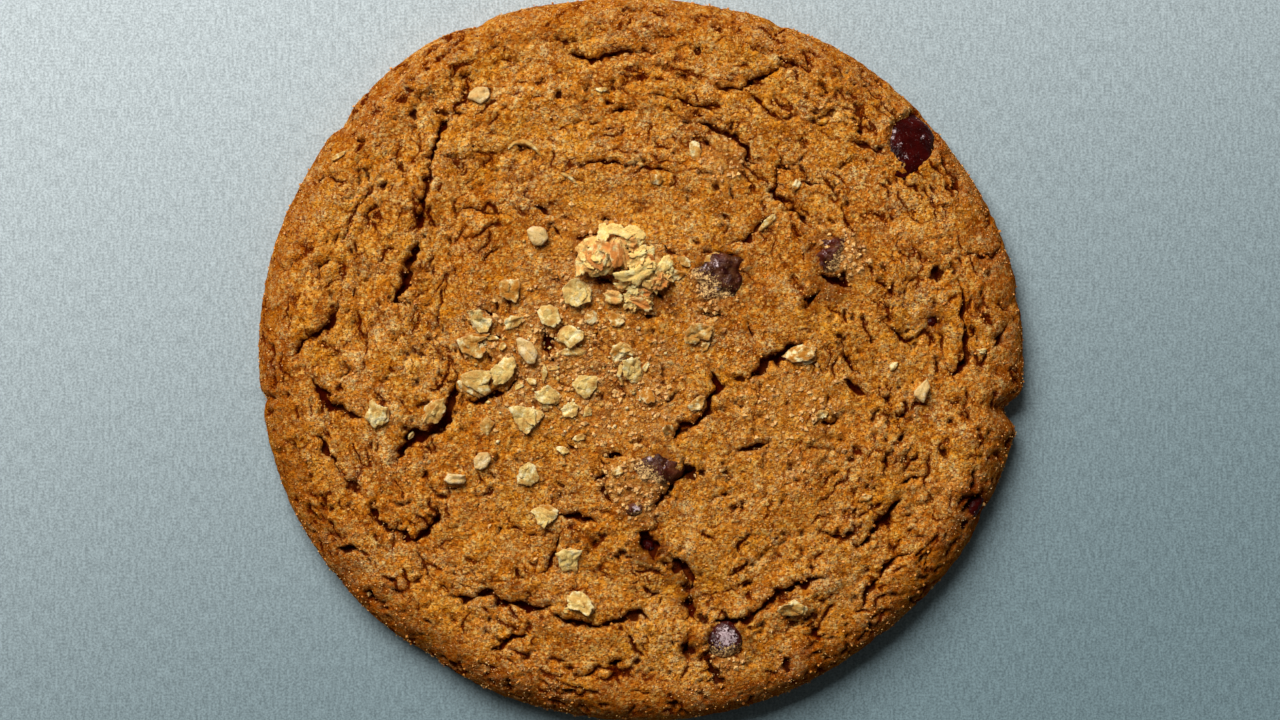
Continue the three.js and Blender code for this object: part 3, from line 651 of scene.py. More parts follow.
def pits(x, y, place):
    """Depth of the pits in the list, and of many small gashes that mostly run round the cookie."""
    depth = np.zeros(len(x))
    wobble = 0.6 * noise(place, 0.9, 51) + 0.4 * noise(place, 1.9, 52)
    rng = np.random.default_rng(5)
    gashes = [(cx, cy, size * 0.75, deep, 1.7, rng.random() * math.pi) for cx, cy, size, deep in PITS]
    for _ in range(GASHES_TRIED):
        reach = GASHES_REACH * math.sqrt(rng.random())
        at = rng.random() * 2 * math.pi
        size = 0.12 + 0.2 * rng.random() ** 2
        turn = at + math.pi / 2 + rng.normal() * (0.35 + 20 / (reach + 8))
        gash = (reach * math.cos(at), reach * math.sin(at), size, 0.35 + 0.5 * rng.random(),
                1.5 + 5.5 * rng.random(), turn)
        if rng.random() < 0.5 + (reach / 45) ** 2 - gash[1] / 70:
            gashes.append(gash)
    for cx, cy, size, deep, longer, turn in gashes:
        reach = size * longer + 1.2
        near = (np.abs(x - cx) < reach) & (np.abs(y - cy) < reach)
        dx = x[near] - cx
        dy = y[near] - cy
        along = (dx * math.cos(turn) + dy * math.sin(turn)) / longer
        across = dy * math.cos(turn) - dx * math.sin(turn)
        distance = np.hypot(along, across) + wobble[near]
        depth[near] = np.maximum(depth[near], deep * smoothstep(size + 0.22, size - 0.4, distance))
    return depth


# Hollows that the chips sit in, and the raised dough round them: node, radius, depth, collar
SOCKETS = [
    ("chip_glossy", 3.9, 0.9, 0.3),
    ("chip_bloomed", 2.6, 0.9, 0.3),
    ("chip_half_covered", 3.4, 0.3, 0.1),
    ("chip_crumbed", 2.2, 0.2, 0.1),
    ("chip_in_hole", 1.2, 0.9, 0.0),
    ("chip_dark", 0.9, 0.5, 0.0),
]
# Dough covered in pale crumb: x, y, radius, strength
CRUMBY = [
    (10.6, 9.8, 3.4, 0.8),
    (12.9, -44.4, 2.4, 0.7),
    (30.6, 15.4, 3.4, 1.0),
    (-1.2, -18.6, 4.2, 0.75),
    (13.0, 29.5, 3.6, 0.4),
    (-14.0, 1.0, 10.0, 0.45),
    (-3.0, -4.0, 9.0, 0.4),
    (-7.0, 17.0, 6.0, 0.3),
    (22.0, -9.0, 8.0, 0.25),
]
# Dough darkened: stained by chocolate or fat round the chips, and painted shadow in hollows and beside the
# clump: x, y, radius, strength
STAINS_AND_SHADOWS = [
    (11.8, 12.6, 4.4, 0.8),
    (13.0, -42.5, 3.4, 0.7),
    (27.4, 16.2, 3.0, 0.85),
    (2.4, -16.4, 3.4, 0.95),
    (-0.6, -22.0, 2.4, 0.8),
    (1.2, -27.8, 2.8, 0.9),
    (43.6, 6.0, 2.4, 0.8),
    (5.9, -31.6, 2.4, 0.7),
    (7.2, -35.6, 2.4, 0.75),
    (-33.6, 13.0, 1.8, 0.5),
    (7.2, -42.5, 1.8, 0.7),
    (50.2, -21.6, 2.6, 0.9),
    (25.2, 8.8, 2.0, 0.8),
    (26.4, 17.4, 1.6, 0.7),
    (-5.0, 11.6, 2.4, 0.7),
    (3.2, 9.4, 2.2, 0.8),
    (-8.8, 16.4, 2.2, 0.4),
    (28.6, 11.6, 3.2, 0.9),
    (13.4, 29.0, 2.4, 0.45),
]


def sockets(x, y):
    """Depth of the chips' hollows, less the height of the dough pushed up round them."""
    depth = np.zeros(len(x))
    for node, radius, deep, collar in SOCKETS:
        low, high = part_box(node)
        middle = (low + high) / 2 / MM
        distance = np.hypot(x - middle.x, y - middle.y)
        depth += deep * smoothstep(radius + 0.3, radius - 0.7, distance)
        depth -= collar * np.exp(-((distance - radius - 0.9) / 0.8) ** 2)
    return depth


def spots(places, x, y, place):
    """How strongly each point is covered by the ragged spots of a list."""
    cover = np.zeros(len(x))
    ragged = 0.3 * noise(place, 1.6, 67)
    for cx, cy, radius, strength in places:
        spot = np.exp(-((x - cx) ** 2 + (y - cy) ** 2) / radius ** 2)
        cover = np.maximum(cover, strength * smoothstep(0.15, 0.6, spot + ragged))
    return cover


def shape_dough(place, normal):
    """Moves the dough's points out or in along their normals, and says how each one is baked and where shade
    is painted on it.
    """
    x, y, z = place.T
    reach = np.hypot(x, y)
    angle = np.arctan2(y, x)
    top = smoothstep(0.1, 0.75, normal[:, 2])
    side = smoothstep(0.0, 1.2, z)
    chosen, opened, lips, overhang, line = chosen_cracks(x, y, place)
    small, small_lines = fine_cracks(x, y, place)
    holes = pits(x, y, place)
    lumps, small_lumps, crease, crease_lines = crust_lumps(x, y, place)
    crumby = spots(CRUMBY, x, y, place)
    crumb = (0.13 * noise(place, 1.3, 64) + 0.08 * noise(place, 0.8, 65)) * (1 + 0.8 * crumby)
    sink = (chosen + 0.9 * small * (1 - opened) + holes + sockets(x, y)) * (0.35 + 0.65 * top)
    out = lumps * (0.4 + 0.6 * top) + crumb + 0.15 * lips * top - sink - 0.35 * crease
    moved = place + normal * (out * side)[:, None]
    moved[:, 2] += waviness(x, y) * top * side
    moved[:, :2] += overhang * top[:, None]
    dent = edge_dent(angle) * smoothstep(46, 55.5, reach) * np.hypot(normal[:, 0], normal[:, 1]) ** 0.3
    moved[:, 0] -= dent * np.cos(angle)
    moved[:, 1] -= dent * np.sin(angle)
    moved[:, 2] = np.maximum(moved[:, 2], 0.0)
    crack = np.maximum.reduce([opened, small / 0.75, smoothstep(0.15, 0.8, holes)])
    ridge = smoothstep(-0.28, 0.32, small_lumps + crumb * 2)
    values = {
        "crack": np.clip(crack, 0, 1),
        "ridge": ridge,
        "crumby": crumby,
        "stained_and_shaded": spots(STAINS_AND_SHADOWS, x, y, place),
        # Darker at the rim: browning, with painted shade that grows towards the side away from the window
        "rim": smoothstep(0.86, 0.98, reach / outline_radius(angle)) * (0.8 - 0.3 * np.sin(angle)),
        "sugary": smoothstep(-0.35, 0.45, noise(place, 9.0, 68) + 0.4 * noise(place, 3.0, 69)),
        "hole": holes,
    }
    for number, way in enumerate([line] + small_lines + crease_lines):
        values["line_%d" % number] = way
    return moved, values


# ---- Meshes ----

def new_object(name, points, faces, material, smooth=True):
    """A mesh object from points in millimetres."""
    mesh = bpy.data.meshes.new(name)
    mesh.from_pydata((np.asarray(points) * MM).tolist(), [], [tuple(map(int, face)) for face in faces])
    mesh.polygons.foreach_set("use_smooth", [smooth] * len(mesh.polygons))
    mesh.materials.append(material)
    mesh.update()
    thing = bpy.data.objects.new(name, mesh)
    bpy.context.scene.collection.objects.link(thing)
    return thing


def point_values(thing, name, values):
    """Stores one number, or three, for each point of a mesh, for its material to read."""
    values = np.asarray(values, dtype=np.float32)
    kind, field = ("FLOAT", "value") if values.ndim == 1 else ("FLOAT_VECTOR", "vector")
    layer = thing.data.attributes.new(name, kind, "POINT")
    layer.data.foreach_set(field, values.ravel())


class Batch:
    """Gathers many small closed shapes into one mesh, with values that their material reads."""

    def __init__(self):
        self.points = []
        self.faces = []
        self.values = {}
        self.count = 0

    def add(self, points, faces, **values):
        self.points.append(points)
        self.faces.append(np.asarray(faces) + self.count)
        for name, value in values.items():
            self.values.setdefault(name, []).append(np.broadcast_to(value, len(points)))
        self.count += len(points)

    def make(self, name, material, smooth=True):
        thing = new_object(name, np.vstack(self.points), np.vstack(self.faces), material, smooth)
        for key, parts in self.values.items():
            point_values(thing, key, np.concatenate(parts))
        return thing


class Ground:
    """The finished top of the dough, to set things on."""

    def __init__(self, dough):
        mesh = dough.data
        self.points = np.empty(len(mesh.vertices) * 3)
        mesh.vertices.foreach_get("co", self.points)
        self.points = self.points.reshape(-1, 3) / MM
        self.normals = np.empty(len(mesh.vertices) * 3)
        mesh.vertices.foreach_get("normal", self.normals)
        self.normals = self.normals.reshape(-1, 3)
        self.tree = BVHTree.FromPolygons(self.points.tolist(), [tuple(p.vertices) for p in mesh.polygons])

    def height(self, x, y):
        hit = self.tree.ray_cast(Vector((x, y, 50)), Vector((0, 0, -1)))
        return hit[0].z if hit[0] else 0.0

    def level(self, x, y, radius):
        """Mean height over a small disc, and the mean slope's upward normal."""
        angles = np.arange(8) * math.pi / 4
        around = [self.height(x + radius * math.cos(a), y + radius * math.sin(a)) for a in angles]
        mean = (sum(around) + 2 * self.height(x, y)) / 10
        slope_x = 2 * np.dot(around, np.cos(angles)) / 8 / radius
        slope_y = 2 * np.dot(around, np.sin(angles)) / 8 / radius
        return mean, Vector((-slope_x, -slope_y, 1)).normalized()


def node_middle(node):
    """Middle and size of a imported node's box, in millimetres."""
    low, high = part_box(node)
    return np.array((low + high) / 2) / MM, np.array(high - low) / MM


def turned(points, normal, turn=0.0, lean=0.0, lean_to=0.0):
    """Points turned about Z, leaned over towards one direction, and then set square to a surface. Degrees."""
    spin = Matrix.Rotation(math.radians(turn), 3, "Z")
    axis = Vector((-math.sin(math.radians(lean_to)), math.cos(math.radians(lean_to)), 0))
    tip = Matrix.Rotation(math.radians(lean), 3, axis)
    stand = Vector((0, 0, 1)).rotation_difference(normal).to_matrix()
    return points @ np.array(stand @ tip @ spin).T


# ---- Shapes of the toppings ----

RIM_POINTS = 52                # points round the edge of a flake
HUSK_STATIONS = 25             # stations of four points along a strip of bran


def ragged_outline(corners, rng, jag):
    """Evenly spaced points round a polygon, with small teeth and notches."""
    corners = np.array(corners + [corners[0]], dtype=float)
    length = np.concatenate([[0], np.cumsum(np.hypot(*np.diff(corners, axis=0).T))])
    at = np.arange(RIM_POINTS) / RIM_POINTS * length[-1]
    outline = np.column_stack([np.interp(at, length, corners[:, axis]) for axis in (0, 1)])
    outline = (outline * 4 + np.roll(outline, 1, axis=0) + np.roll(outline, -1, axis=0)) / 6
    teeth = rng.normal(size=(RIM_POINTS, 1))
    notches = rng.normal(size=(RIM_POINTS, 1))
    notches = (notches + np.roll(notches, 1, axis=0) + np.roll(notches, 2, axis=0)) / 2
    return outline * (1 + jag * (0.6 * teeth + 0.8 * notches))


def random_corners(rng, length, width, turn=0.0):
    """The corners of an uneven oval chip, 5 to 8 of them."""
    count = rng.integers(5, 9)
    angles = np.sort((np.arange(count) + rng.uniform(-0.35, 0.35, count)) / count * 2 * math.pi)
    reach = rng.uniform(0.8, 1.12, count)
    x = length / 2 * reach * np.cos(angles)
    y = width / 2 * reach * np.sin(angles)
    c = math.cos(math.radians(turn))
    s = math.sin(math.radians(turn))
    return [(c * a - s * b, s * a + c * b) for a, b in zip(x, y)]


def plate(corners, rng, thickness, cup=0.0, fold=0.0, crease=0.0, jag=0.05, dome=1.0, rough=1.0):
    """A closed, uneven plate: rolled flake or kernel. Also gives how near the edge each point is."""
    outline = ragged_outline(corners, rng, jag)
    reach = np.hypot(*outline.T).max()
    along = np.argmax(np.hypot(*outline.T))
    line = outline[along] / np.hypot(*outline[along])
    top_rings = [1.0, 0.93, 0.75, 0.5, 0.25]
    low_rings = [0.9, 0.5]
    middle = np.zeros((1, 2))
    rows = [outline * ring for ring in top_rings] + [middle]
    rows += [outline * ring for ring in low_rings] + [middle]
    edge = [np.full(RIM_POINTS, ring) for ring in top_rings] + [np.zeros(1)]
    edge += [np.full(RIM_POINTS, ring) for ring in low_rings] + [np.zeros(1)]
    flat = np.vstack(rows)
    edge = np.concatenate(edge)
    top = np.arange(len(flat)) < RIM_POINTS * len(top_rings) + 1
    across = flat @ np.array([-line[1], line[0]])
    lengthways = flat @ line
    place = np.column_stack([flat + rng.uniform(0, 900, 2), np.zeros(len(flat))])
    bend = cup * (flat ** 2).sum(1) / reach + fold * across * lengthways / reach
    fibres = np.column_stack([lengthways / 2.4, across / 0.55, rng.uniform(0, 900, 1).repeat(len(flat))])
    wrinkle = 0.4 * np.abs(noise(place, 1.9, 71)) + 0.12 * noise(place, 0.8, 73)
    wrinkle = wrinkle + 0.16 * noise(fibres, 1.0, 72) - 0.1
    wrinkle *= rough
    groove = crease * np.exp(-(across / 0.28) ** 2) * (1 - edge ** 4)
    body = thickness * (0.35 + 0.65 * np.sqrt(np.clip(1 - edge ** 2, 0, 1)) ** dome)
    z = bend + wrinkle + np.where(top, body * 0.5 - groove, -body * 0.5 * edge.clip(0.5, 1))
    return np.column_stack([flat, z]), plate_faces(len(top_rings), len(low_rings)), edge


def plate_faces(top_rings, low_rings):
    """Triangles of a plate whose rings start at the outer edge of the top and end under its middle."""
    n = RIM_POINTS
    faces = []

    def band(first, second, flip):
        for i in range(n):
            a, b = first + i, first + (i + 1) % n
            c, d = second + (i + 1) % n, second + i
            faces.extend([(a, c, b), (a, d, c)] if flip else [(a, b, c), (a, c, d)])

    for ring in range(top_rings - 1):
        band(ring * n, ring * n + n, False)
    middle = top_rings * n
    faces.extend((middle - n + i, middle - n + (i + 1) % n, middle) for i in range(n))
    low = middle + 1
    band(0, low, True)
    for ring in range(low_rings - 1):
        band(low + ring * n, low + ring * n + n, True)
    last = low + low_rings * n
    faces.extend((last - n + (i + 1) % n, last - n + i, last) for i in range(n))
    return faces


def dome(across, along, height, rng, lumps, rings=18, sides=48):
    """A melted chip or the core of a lump: a flattish, lumpy button, closed below."""
    points = [(0, 0, height)]
    for ring in range(1, rings + 1):
        t = ring / rings * math.pi * 0.72
        reach = math.sin(t) ** 0.75
        level = math.copysign(abs(math.cos(t)) ** 0.7, math.cos(t))
        for side in range(sides):
            a = side / sides * 2 * math.pi
            points.append((across / 2 * reach * math.cos(a), along / 2 * reach * math.sin(a), height * level))
    points.append((0, 0, points[-1][2]))
    points = np.array(points)
    seeded = points + rng.uniform(0, 900, 3)
    points *= (1 + lumps * (0.6 * noise(seeded, 2.8, 81) + 0.3 * noise(seeded, 1.1, 82)))[:, None]
    faces = [(0, 1 + i, 1 + (i + 1) % sides) for i in range(sides)]
    for ring in range(rings - 1):
        first = 1 + ring * sides
        for i in range(sides):
            a, b = first + i, first + (i + 1) % sides
            faces += [(a, a + sides, b + sides), (a, b + sides, b)]
    last = 1 + (rings - 1) * sides
    faces += [(last + (i + 1) % sides, last + i, last + sides) for i in range(sides)]
    return points, faces


def husk(way, width, thickness):
    """A thin curved strip of bran: stations of four points along a way, closed at both ends."""
    way = np.array(way, dtype=float)
    length = np.concatenate([[0], np.cumsum(np.hypot(*np.diff(way, axis=0).T))])
    at = np.linspace(0, length[-1], HUSK_STATIONS)
    line = np.column_stack([np.interp(at, length, way[:, axis]) for axis in (0, 1)])
    for _ in range(3):
        line[1:-1] = (line[:-2] + line[1:-1] * 2 + line[2:]) / 4
    heading = np.gradient(line, axis=0)
    side = np.column_stack([-heading[:, 1], heading[:, 0]]) / np.hypot(*heading.T)[:, None]
    half = width / 2 * np.sin(np.linspace(0.25, math.pi - 0.15, HUSK_STATIONS))[:, None]
    rise = thickness * np.sin(np.linspace(0.2, math.pi - 0.2, HUSK_STATIONS))
    rows = [np.column_stack([line + side * half * across, level]) for across, level in
            ((1, 0 * rise), (0, rise), (-1, 0 * rise), (0, 0 * rise - thickness))]
    points = np.stack(rows, axis=1).reshape(-1, 3)
    faces = []
    for n in range(HUSK_STATIONS - 1):
        for i in range(4):
            a, b = 4 * n + i, 4 * n + (i + 1) % 4
            faces += [(a, b, b + 4), (a, b + 4, a + 4)]
    end = 4 * (HUSK_STATIONS - 1)
    faces += [(2, 1, 0), (3, 2, 0), (end, end + 1, end + 2), (end, end + 2, end + 3)]
    return points, faces


def grain(size, rng):
    """A tiny faceted grain: an uneven eight-sided crystal."""
    corners = np.array([(1, 0, 0), (0, 1, 0), (-1, 0, 0), (0, -1, 0), (0, 0, 1), (0, 0, -1)], dtype=float)
    corners *= rng.uniform(0.55, 1.0, (6, 1)) * size / 2
    turn = rng.uniform(0, 2 * math.pi, 3)
    spin = Matrix.Rotation(turn[0], 3, "X") @ Matrix.Rotation(turn[1], 3, "Y")
    spin = spin @ Matrix.Rotation(turn[2], 3, "Z")
    return corners @ np.array(spin).T


GRAIN_CORNERS = 6
GRAIN_FACES = np.array([(i, (i + 1) % 4, 4) for i in range(4)] + [((i + 1) % 4, i, 5) for i in range(4)])


# ---- Materials ----

class Nodes:
    """Short calls that build one material's node tree."""

    def __init__(self, name):
        self.material = bpy.data.materials.new(name)
        self.material.use_nodes = True
        self.tree = self.material.node_tree
        self.shader = self.tree.nodes["Principled BSDF"]
        self.place = self.tree.nodes.new("ShaderNodeTexCoord").outputs["Object"]

    def link(self, source, target):
        self.tree.links.new(source, target)

    def feed(self, socket, value):
        if isinstance(value, bpy.types.NodeSocket):
            self.link(value, socket)
        elif isinstance(value, tuple) and len(value) == 3:
            socket.default_value = (*value, 1.0)
        else:
            socket.default_value = value

    def noise(self, size, detail=2.0, roughness=0.5, distortion=0.0, stretch=None):
        """Noise with bumps about size millimetres apart."""
        node = self.tree.nodes.new("ShaderNodeTexNoise")
        place = self.place
        if stretch:
            scaled = self.tree.nodes.new("ShaderNodeVectorMath")
            scaled.operation = "MULTIPLY"
            self.link(place, scaled.inputs[0])
            scaled.inputs[1].default_value = stretch
            place = scaled.outputs["Vector"]
        self.link(place, node.inputs["Vector"])
        node.inputs["Scale"].default_value = 1 / (size * MM)
        node.inputs["Detail"].default_value = detail
        node.inputs["Roughness"].default_value = roughness
        node.inputs["Distortion"].default_value = distortion
        return node.outputs["Fac"]

    def warped(self, size, reach):
        """Each point's place, pushed aside by up to about reach millimetres."""
        push = self.tree.nodes.new("ShaderNodeTexNoise")
        self.link(self.place, push.inputs["Vector"])
        push.inputs["Scale"].default_value = 1 / (size * MM)
        node = self.tree.nodes.new("ShaderNodeVectorMath")
        node.operation = "MULTIPLY_ADD"
        self.link(push.outputs["Color"], node.inputs[0])
        node.inputs[1].default_value = (2 * reach * MM,) * 3
        self.link(self.place, node.inputs[2])
        return node.outputs["Vector"]

    def grains(self, size, rare, place):
        """Scattered soft grains in cells of so many millimetres, where the cell's number is above rare."""
        node = self.tree.nodes.new("ShaderNodeTexVoronoi")
        self.link(place, node.inputs["Vector"])
        node.inputs["Scale"].default_value = 1 / (size * MM)
        chosen = self.span(self.math("SUBTRACT", node.outputs["Color"], rare), 0.0, 0.16)
        return self.math("MULTIPLY", self.span(node.outputs["Distance"], 0.62, 0.26), chosen)

    def along(self, direction):
        """How many millimetres along a direction a point lies."""
        node = self.tree.nodes.new("ShaderNodeVectorMath")
        node.operation = "DOT_PRODUCT"
        self.link(self.place, node.inputs[0])
        node.inputs[1].default_value = [part / MM for part in direction]
        return node.outputs["Value"]

    def attribute(self, name, kind="Fac"):
        node = self.tree.nodes.new("ShaderNodeAttribute")
        node.attribute_name = name
        return node.outputs[kind]

    def line(self, name, wobble):
        """Distance to a crack's edge, from its side, half width and nearness: negative inside the crack."""
        split = self.tree.nodes.new("ShaderNodeSeparateXYZ")
        self.link(self.attribute(name, "Vector"), split.inputs[0])
        side, half, near = split.outputs
        gap = self.math("SUBTRACT", self.math("ABSOLUTE", self.math("ADD", side, wobble)), half)
        return self.math("ADD", gap, self.math("SUBTRACT", 1.0, near))

    def math(self, operation, a, b=0.5):
        node = self.tree.nodes.new("ShaderNodeMath")
        node.operation = operation
        self.feed(node.inputs[0], a)
        self.feed(node.inputs[1], b)
        return node.outputs[0]

    def span(self, value, low, high, to_low=0.0, to_high=1.0, eased=False):
        """Value between low and high, stretched to another range and held there."""
        node = self.tree.nodes.new("ShaderNodeMapRange")
        node.clamp = True
        node.interpolation_type = "SMOOTHSTEP" if eased else "LINEAR"
        for socket, number in zip(node.inputs, (value, low, high, to_low, to_high)):
            self.feed(socket, number)
        return node.outputs[0]

    def mix(self, factor, a, b):
        node = self.tree.nodes.new("ShaderNodeMix")
        node.data_type = "RGBA"
        self.feed(node.inputs["Factor"], factor)
        colour_sockets = [socket for socket in node.inputs if socket.type == "RGBA"]
        self.feed(colour_sockets[0], a)
        self.feed(colour_sockets[1], b)
        return next(socket for socket in node.outputs if socket.type == "RGBA")

    def bump(self, height, depth, under=None):
        """A bump of so many millimetres, over another one if given."""
        node = self.tree.nodes.new("ShaderNodeBump")
        node.inputs["Strength"].default_value = 1.0
        node.inputs["Distance"].default_value = depth * MM
        self.link(height, node.inputs["Height"])
        if under is not None:
            self.link(under, node.inputs["Normal"])
        return node.outputs["Normal"]


def srgb(red, green, blue):
    """A colour as seen on a screen, 0 to 255, turned into light."""
    return tuple(((c / 255 + 0.055) / 1.055) ** 2.4 if c > 10 else c / 255 / 12.92
                 for c in (red, green, blue))


# The lines of cracks and creases that the dough's points carry: the chosen ones and those of each kind
DOUGH_LINES = 1 + len(FINE_CRACK_KINDS) + len(LUMP_KINDS)

# Colours of the baked dough, and of the painted shade and highlight laid over it
DOUGH_COLOURS = {
    "gold_deep": srgb(226, 132, 16),
    "gold_pale": srgb(252, 168, 42),
    "peach": srgb(234, 146, 62),
    "toasted": srgb(188, 102, 6),
    "frost_and_highlight": srgb(252, 196, 112),
    "furrow": srgb(178, 88, 0),
    "shade": srgb(166, 78, 0),
    "grain_deep": srgb(255, 202, 102),
    "grain_pale": srgb(255, 226, 154),
    "sand": srgb(132, 48, 0),
    "craze": srgb(96, 24, 0),
    "stain_and_shadow": srgb(92, 32, 2),
    "crumb_deep": srgb(164, 92, 22),
    "crumb_pale": srgb(240, 184, 100),
    "rim": srgb(136, 52, 0),
    "crack_shade": srgb(110, 34, 0),
    "crack_bank_shade": srgb(176, 84, 4),
    "crack_lip_shade": srgb(130, 44, 0),
    "crack_edge_shade": srgb(98, 26, 0),
    "crack_floor_shade": srgb(66, 12, 2),
    "crack_floor_pale": srgb(112, 48, 12),
}


def dough_material():
    """Golden-brown baked crust: sugar frost and painted highlight on ridges, painted shade in creases,
    cracks, pits and at the browned rim.
    """
    n = Nodes("baked_dough")
    broad = n.noise(12, 3)
    middle = n.noise(1.6, 3, 0.6)
    sand = n.noise(0.45, 3, 0.75)
    wobble = n.math("MULTIPLY", n.math("SUBTRACT", n.noise(0.6, 3, 0.75), 0.5), 1.5)
    gap = n.line("line_0", wobble)
    for number in range(1, DOUGH_LINES):
        gap = n.math("MINIMUM", gap, n.line("line_%d" % number, wobble))
    from_middle = n.math("ABSOLUTE", n.math("SUBTRACT", n.noise(1.5, 3, 0.65), 0.5))
    craze = n.math("MULTIPLY", from_middle, 4.0)
    crazed = n.math("SUBTRACT", craze, n.span(n.noise(3.5, 2), 0.45, 0.65, -0.1, 0.16))
    tone = n.math("ADD", n.math("MULTIPLY", broad, 0.6), n.math("MULTIPLY", middle, 0.4))
    colour = n.mix(n.span(tone, 0.4, 0.6), DOUGH_COLOURS["gold_deep"], DOUGH_COLOURS["gold_pale"])
    colour = n.mix(n.span(n.noise(5, 2), 0.42, 0.62, 0, 0.3), colour, DOUGH_COLOURS["peach"])
    patches = n.span(n.noise(4, 4, 0.65), 0.44, 0.6)
    colour = n.mix(n.span(n.noise(3, 4, 0.65), 0.5, 0.32, 0, 0.3), colour, DOUGH_COLOURS["toasted"])
    # Sugar frost where the crust is sugary, and a painted highlight on the ridges and on the tops of the
    # middle bumps
    frost_and_highlight = n.math("MULTIPLY", n.span(n.attribute("ridge"), 0.3, 0.9, 0.15, 0.7),
                     n.span(n.attribute("sugary"), 0, 1, 0.4, 1))
    frost_and_highlight = n.math("ADD", frost_and_highlight, n.math("MULTIPLY", patches, 0.3))
    frost_and_highlight = n.math("MULTIPLY", frost_and_highlight, n.span(middle, 0.38, 0.6, 0.4, 1))
    colour = n.mix(n.math("MULTIPLY", frost_and_highlight, 0.55), colour, DOUGH_COLOURS["frost_and_highlight"])
    # Painted shade: darker where the crust lies low between its ridges
    colour = n.mix(n.span(n.attribute("ridge"), 0.3, 0.0, 0, 0.35), colour, DOUGH_COLOURS["furrow"])
    # Painted shade: darker in the hollows of the middle bumps
    colour = n.mix(n.span(middle, 0.42, 0.28, 0, 0.4), colour, DOUGH_COLOURS["shade"])
    clustered = n.span(n.noise(1.1, 2), 0.35, 0.65, 0.1, -0.08)
    rare = n.math("ADD", n.span(frost_and_highlight, 0.1, 0.7, 0.46, 0.26), clustered)
    aside = n.warped(0.5, 0.2)
    bright = n.mix(n.span(frost_and_highlight, 0.1, 0.6), DOUGH_COLOURS["grain_deep"], DOUGH_COLOURS["grain_pale"])
    for size in (0.4, 0.62):
        colour = n.mix(n.grains(size, rare, aside), colour, bright)
    # Painted shade: darker in the hollows of the fine sand bumps
    colour = n.mix(n.span(sand, 0.49, 0.37, 0, 0.92), colour, DOUGH_COLOURS["sand"])
    colour = n.mix(n.span(crazed, 0.12, 0.0, 0, 0.55), colour, DOUGH_COLOURS["craze"])
    # Chocolate stains round the chips, and painted shadow in hollows and beside the clump
    colour = n.mix(n.span(n.attribute("stained_and_shaded"), 0.0, 1.0, 0, 0.75), colour, DOUGH_COLOURS["stain_and_shadow"])
    crumb = n.mix(n.span(n.noise(0.6, 3, 0.8), 0.4, 0.6), DOUGH_COLOURS["crumb_deep"], DOUGH_COLOURS["crumb_pale"])
    colour = n.mix(n.span(n.attribute("crumby"), 0.0, 1.0, 0, 0.8), colour, crumb)
    # Browning at the rim, with painted shade heavier on the side away from the window
    colour = n.mix(n.span(n.attribute("rim"), 0.0, 1.0, 0, 0.6), colour, DOUGH_COLOURS["rim"])
    # Painted shade in and round the cracks and pits: darker inside, in a band along their banks, and darkest
    # on their floors, paler in places
    colour = n.mix(n.span(n.attribute("crack"), 0.2, 0.9, 0, 0.3), colour, DOUGH_COLOURS["crack_shade"])
    floor = n.mix(n.span(n.noise(4, 1), 0.5, 0.7), DOUGH_COLOURS["crack_floor_shade"], DOUGH_COLOURS["crack_floor_pale"])
    colour = n.mix(n.span(gap, 0.8, 0.1, 0, 0.2), colour, DOUGH_COLOURS["crack_bank_shade"])
    colour = n.mix(n.span(gap, 0.3, 0.0, 0, 0.45), colour, DOUGH_COLOURS["crack_lip_shade"])
    colour = n.mix(n.span(gap, 0.08, -0.06, 0, 0.94), colour, DOUGH_COLOURS["crack_edge_shade"])
    colour = n.mix(n.span(gap, -0.05, -0.25, 0, 0.95), colour, floor)
    # Painted shade on the floors of the pits
    holes = n.span(n.math("ADD", n.attribute("hole"), wobble), 0.35, 0.7, 0, 0.95)
    colour = n.mix(holes, colour, DOUGH_COLOURS["crack_floor_shade"])
    n.feed(n.shader.inputs["Base Color"], colour)
    n.feed(n.shader.inputs["Roughness"], n.span(sand, 0.4, 0.7, 0.7, 0.38))
    n.shader.inputs["Specular IOR Level"].default_value = 0.0
    small = n.bump(sand, 0.7)
    n.feed(n.shader.inputs["Normal"], n.bump(middle, 0.28, small))
    return n.material


def grain_material(name, dark, light, roughness, pale):
    """Loose grains, each with its own depth of colour."""
    n = Nodes(name)
    tint = n.attribute("tint")
    colour = n.mix(tint, dark, light)
    colour = n.mix(n.span(n.noise(0.3, 1), 0.45, 0.7, 0, 0.5), colour, pale)
    n.feed(n.shader.inputs["Base Color"], colour)
    n.feed(n.shader.inputs["Roughness"], n.span(n.noise(0.2, 1), 0.3, 0.7, roughness, roughness + 0.2))
    return n.material


def oat_material(name, dark, light, pale_and_edge_highlight, patchy=1.0):
    """Rolled oats: creamy, toasted in patches and pale in others, with fine fibres and a painted highlight
    along their thin edges.
    """
    n = Nodes(name)
    patches = n.math("MULTIPLY", n.math("SUBTRACT", n.noise(1.4, 3, 0.6), 0.5), patchy)
    toasted = n.math("ADD", patches, n.math("MULTIPLY", n.attribute("tint"), 0.42))
    colour = n.mix(n.span(toasted, 0.06, 0.38), light, dark)
    colour = n.mix(n.span(patches, -0.02, -0.13, 0, 0.9), colour, pale_and_edge_highlight)
    # Painted highlight along the thin edges
    colour = n.mix(n.span(n.attribute("edge"), 0.8, 1.0, 0, 0.15), colour, pale_and_edge_highlight)
    fibre = n.noise(0.3, 3, 0.65, 0.8)
    colour = n.mix(n.span(fibre, 0.52, 0.7, 0, 0.5), colour, srgb(180, 116, 34))
    n.feed(n.shader.inputs["Base Color"], colour)
    n.feed(n.shader.inputs["Roughness"], n.span(fibre, 0.3, 0.7, 0.42, 0.75))
    n.shader.inputs["Specular IOR Level"].default_value = 0.12
    n.shader.inputs["Subsurface Weight"].default_value = 0.12
    n.shader.inputs["Subsurface Radius"].default_value = (1.0, 0.6, 0.3)
    n.shader.inputs["Subsurface Scale"].default_value = 0.4 * MM
    n.feed(n.shader.inputs["Normal"], n.bump(fibre, 0.22))
    return n.material


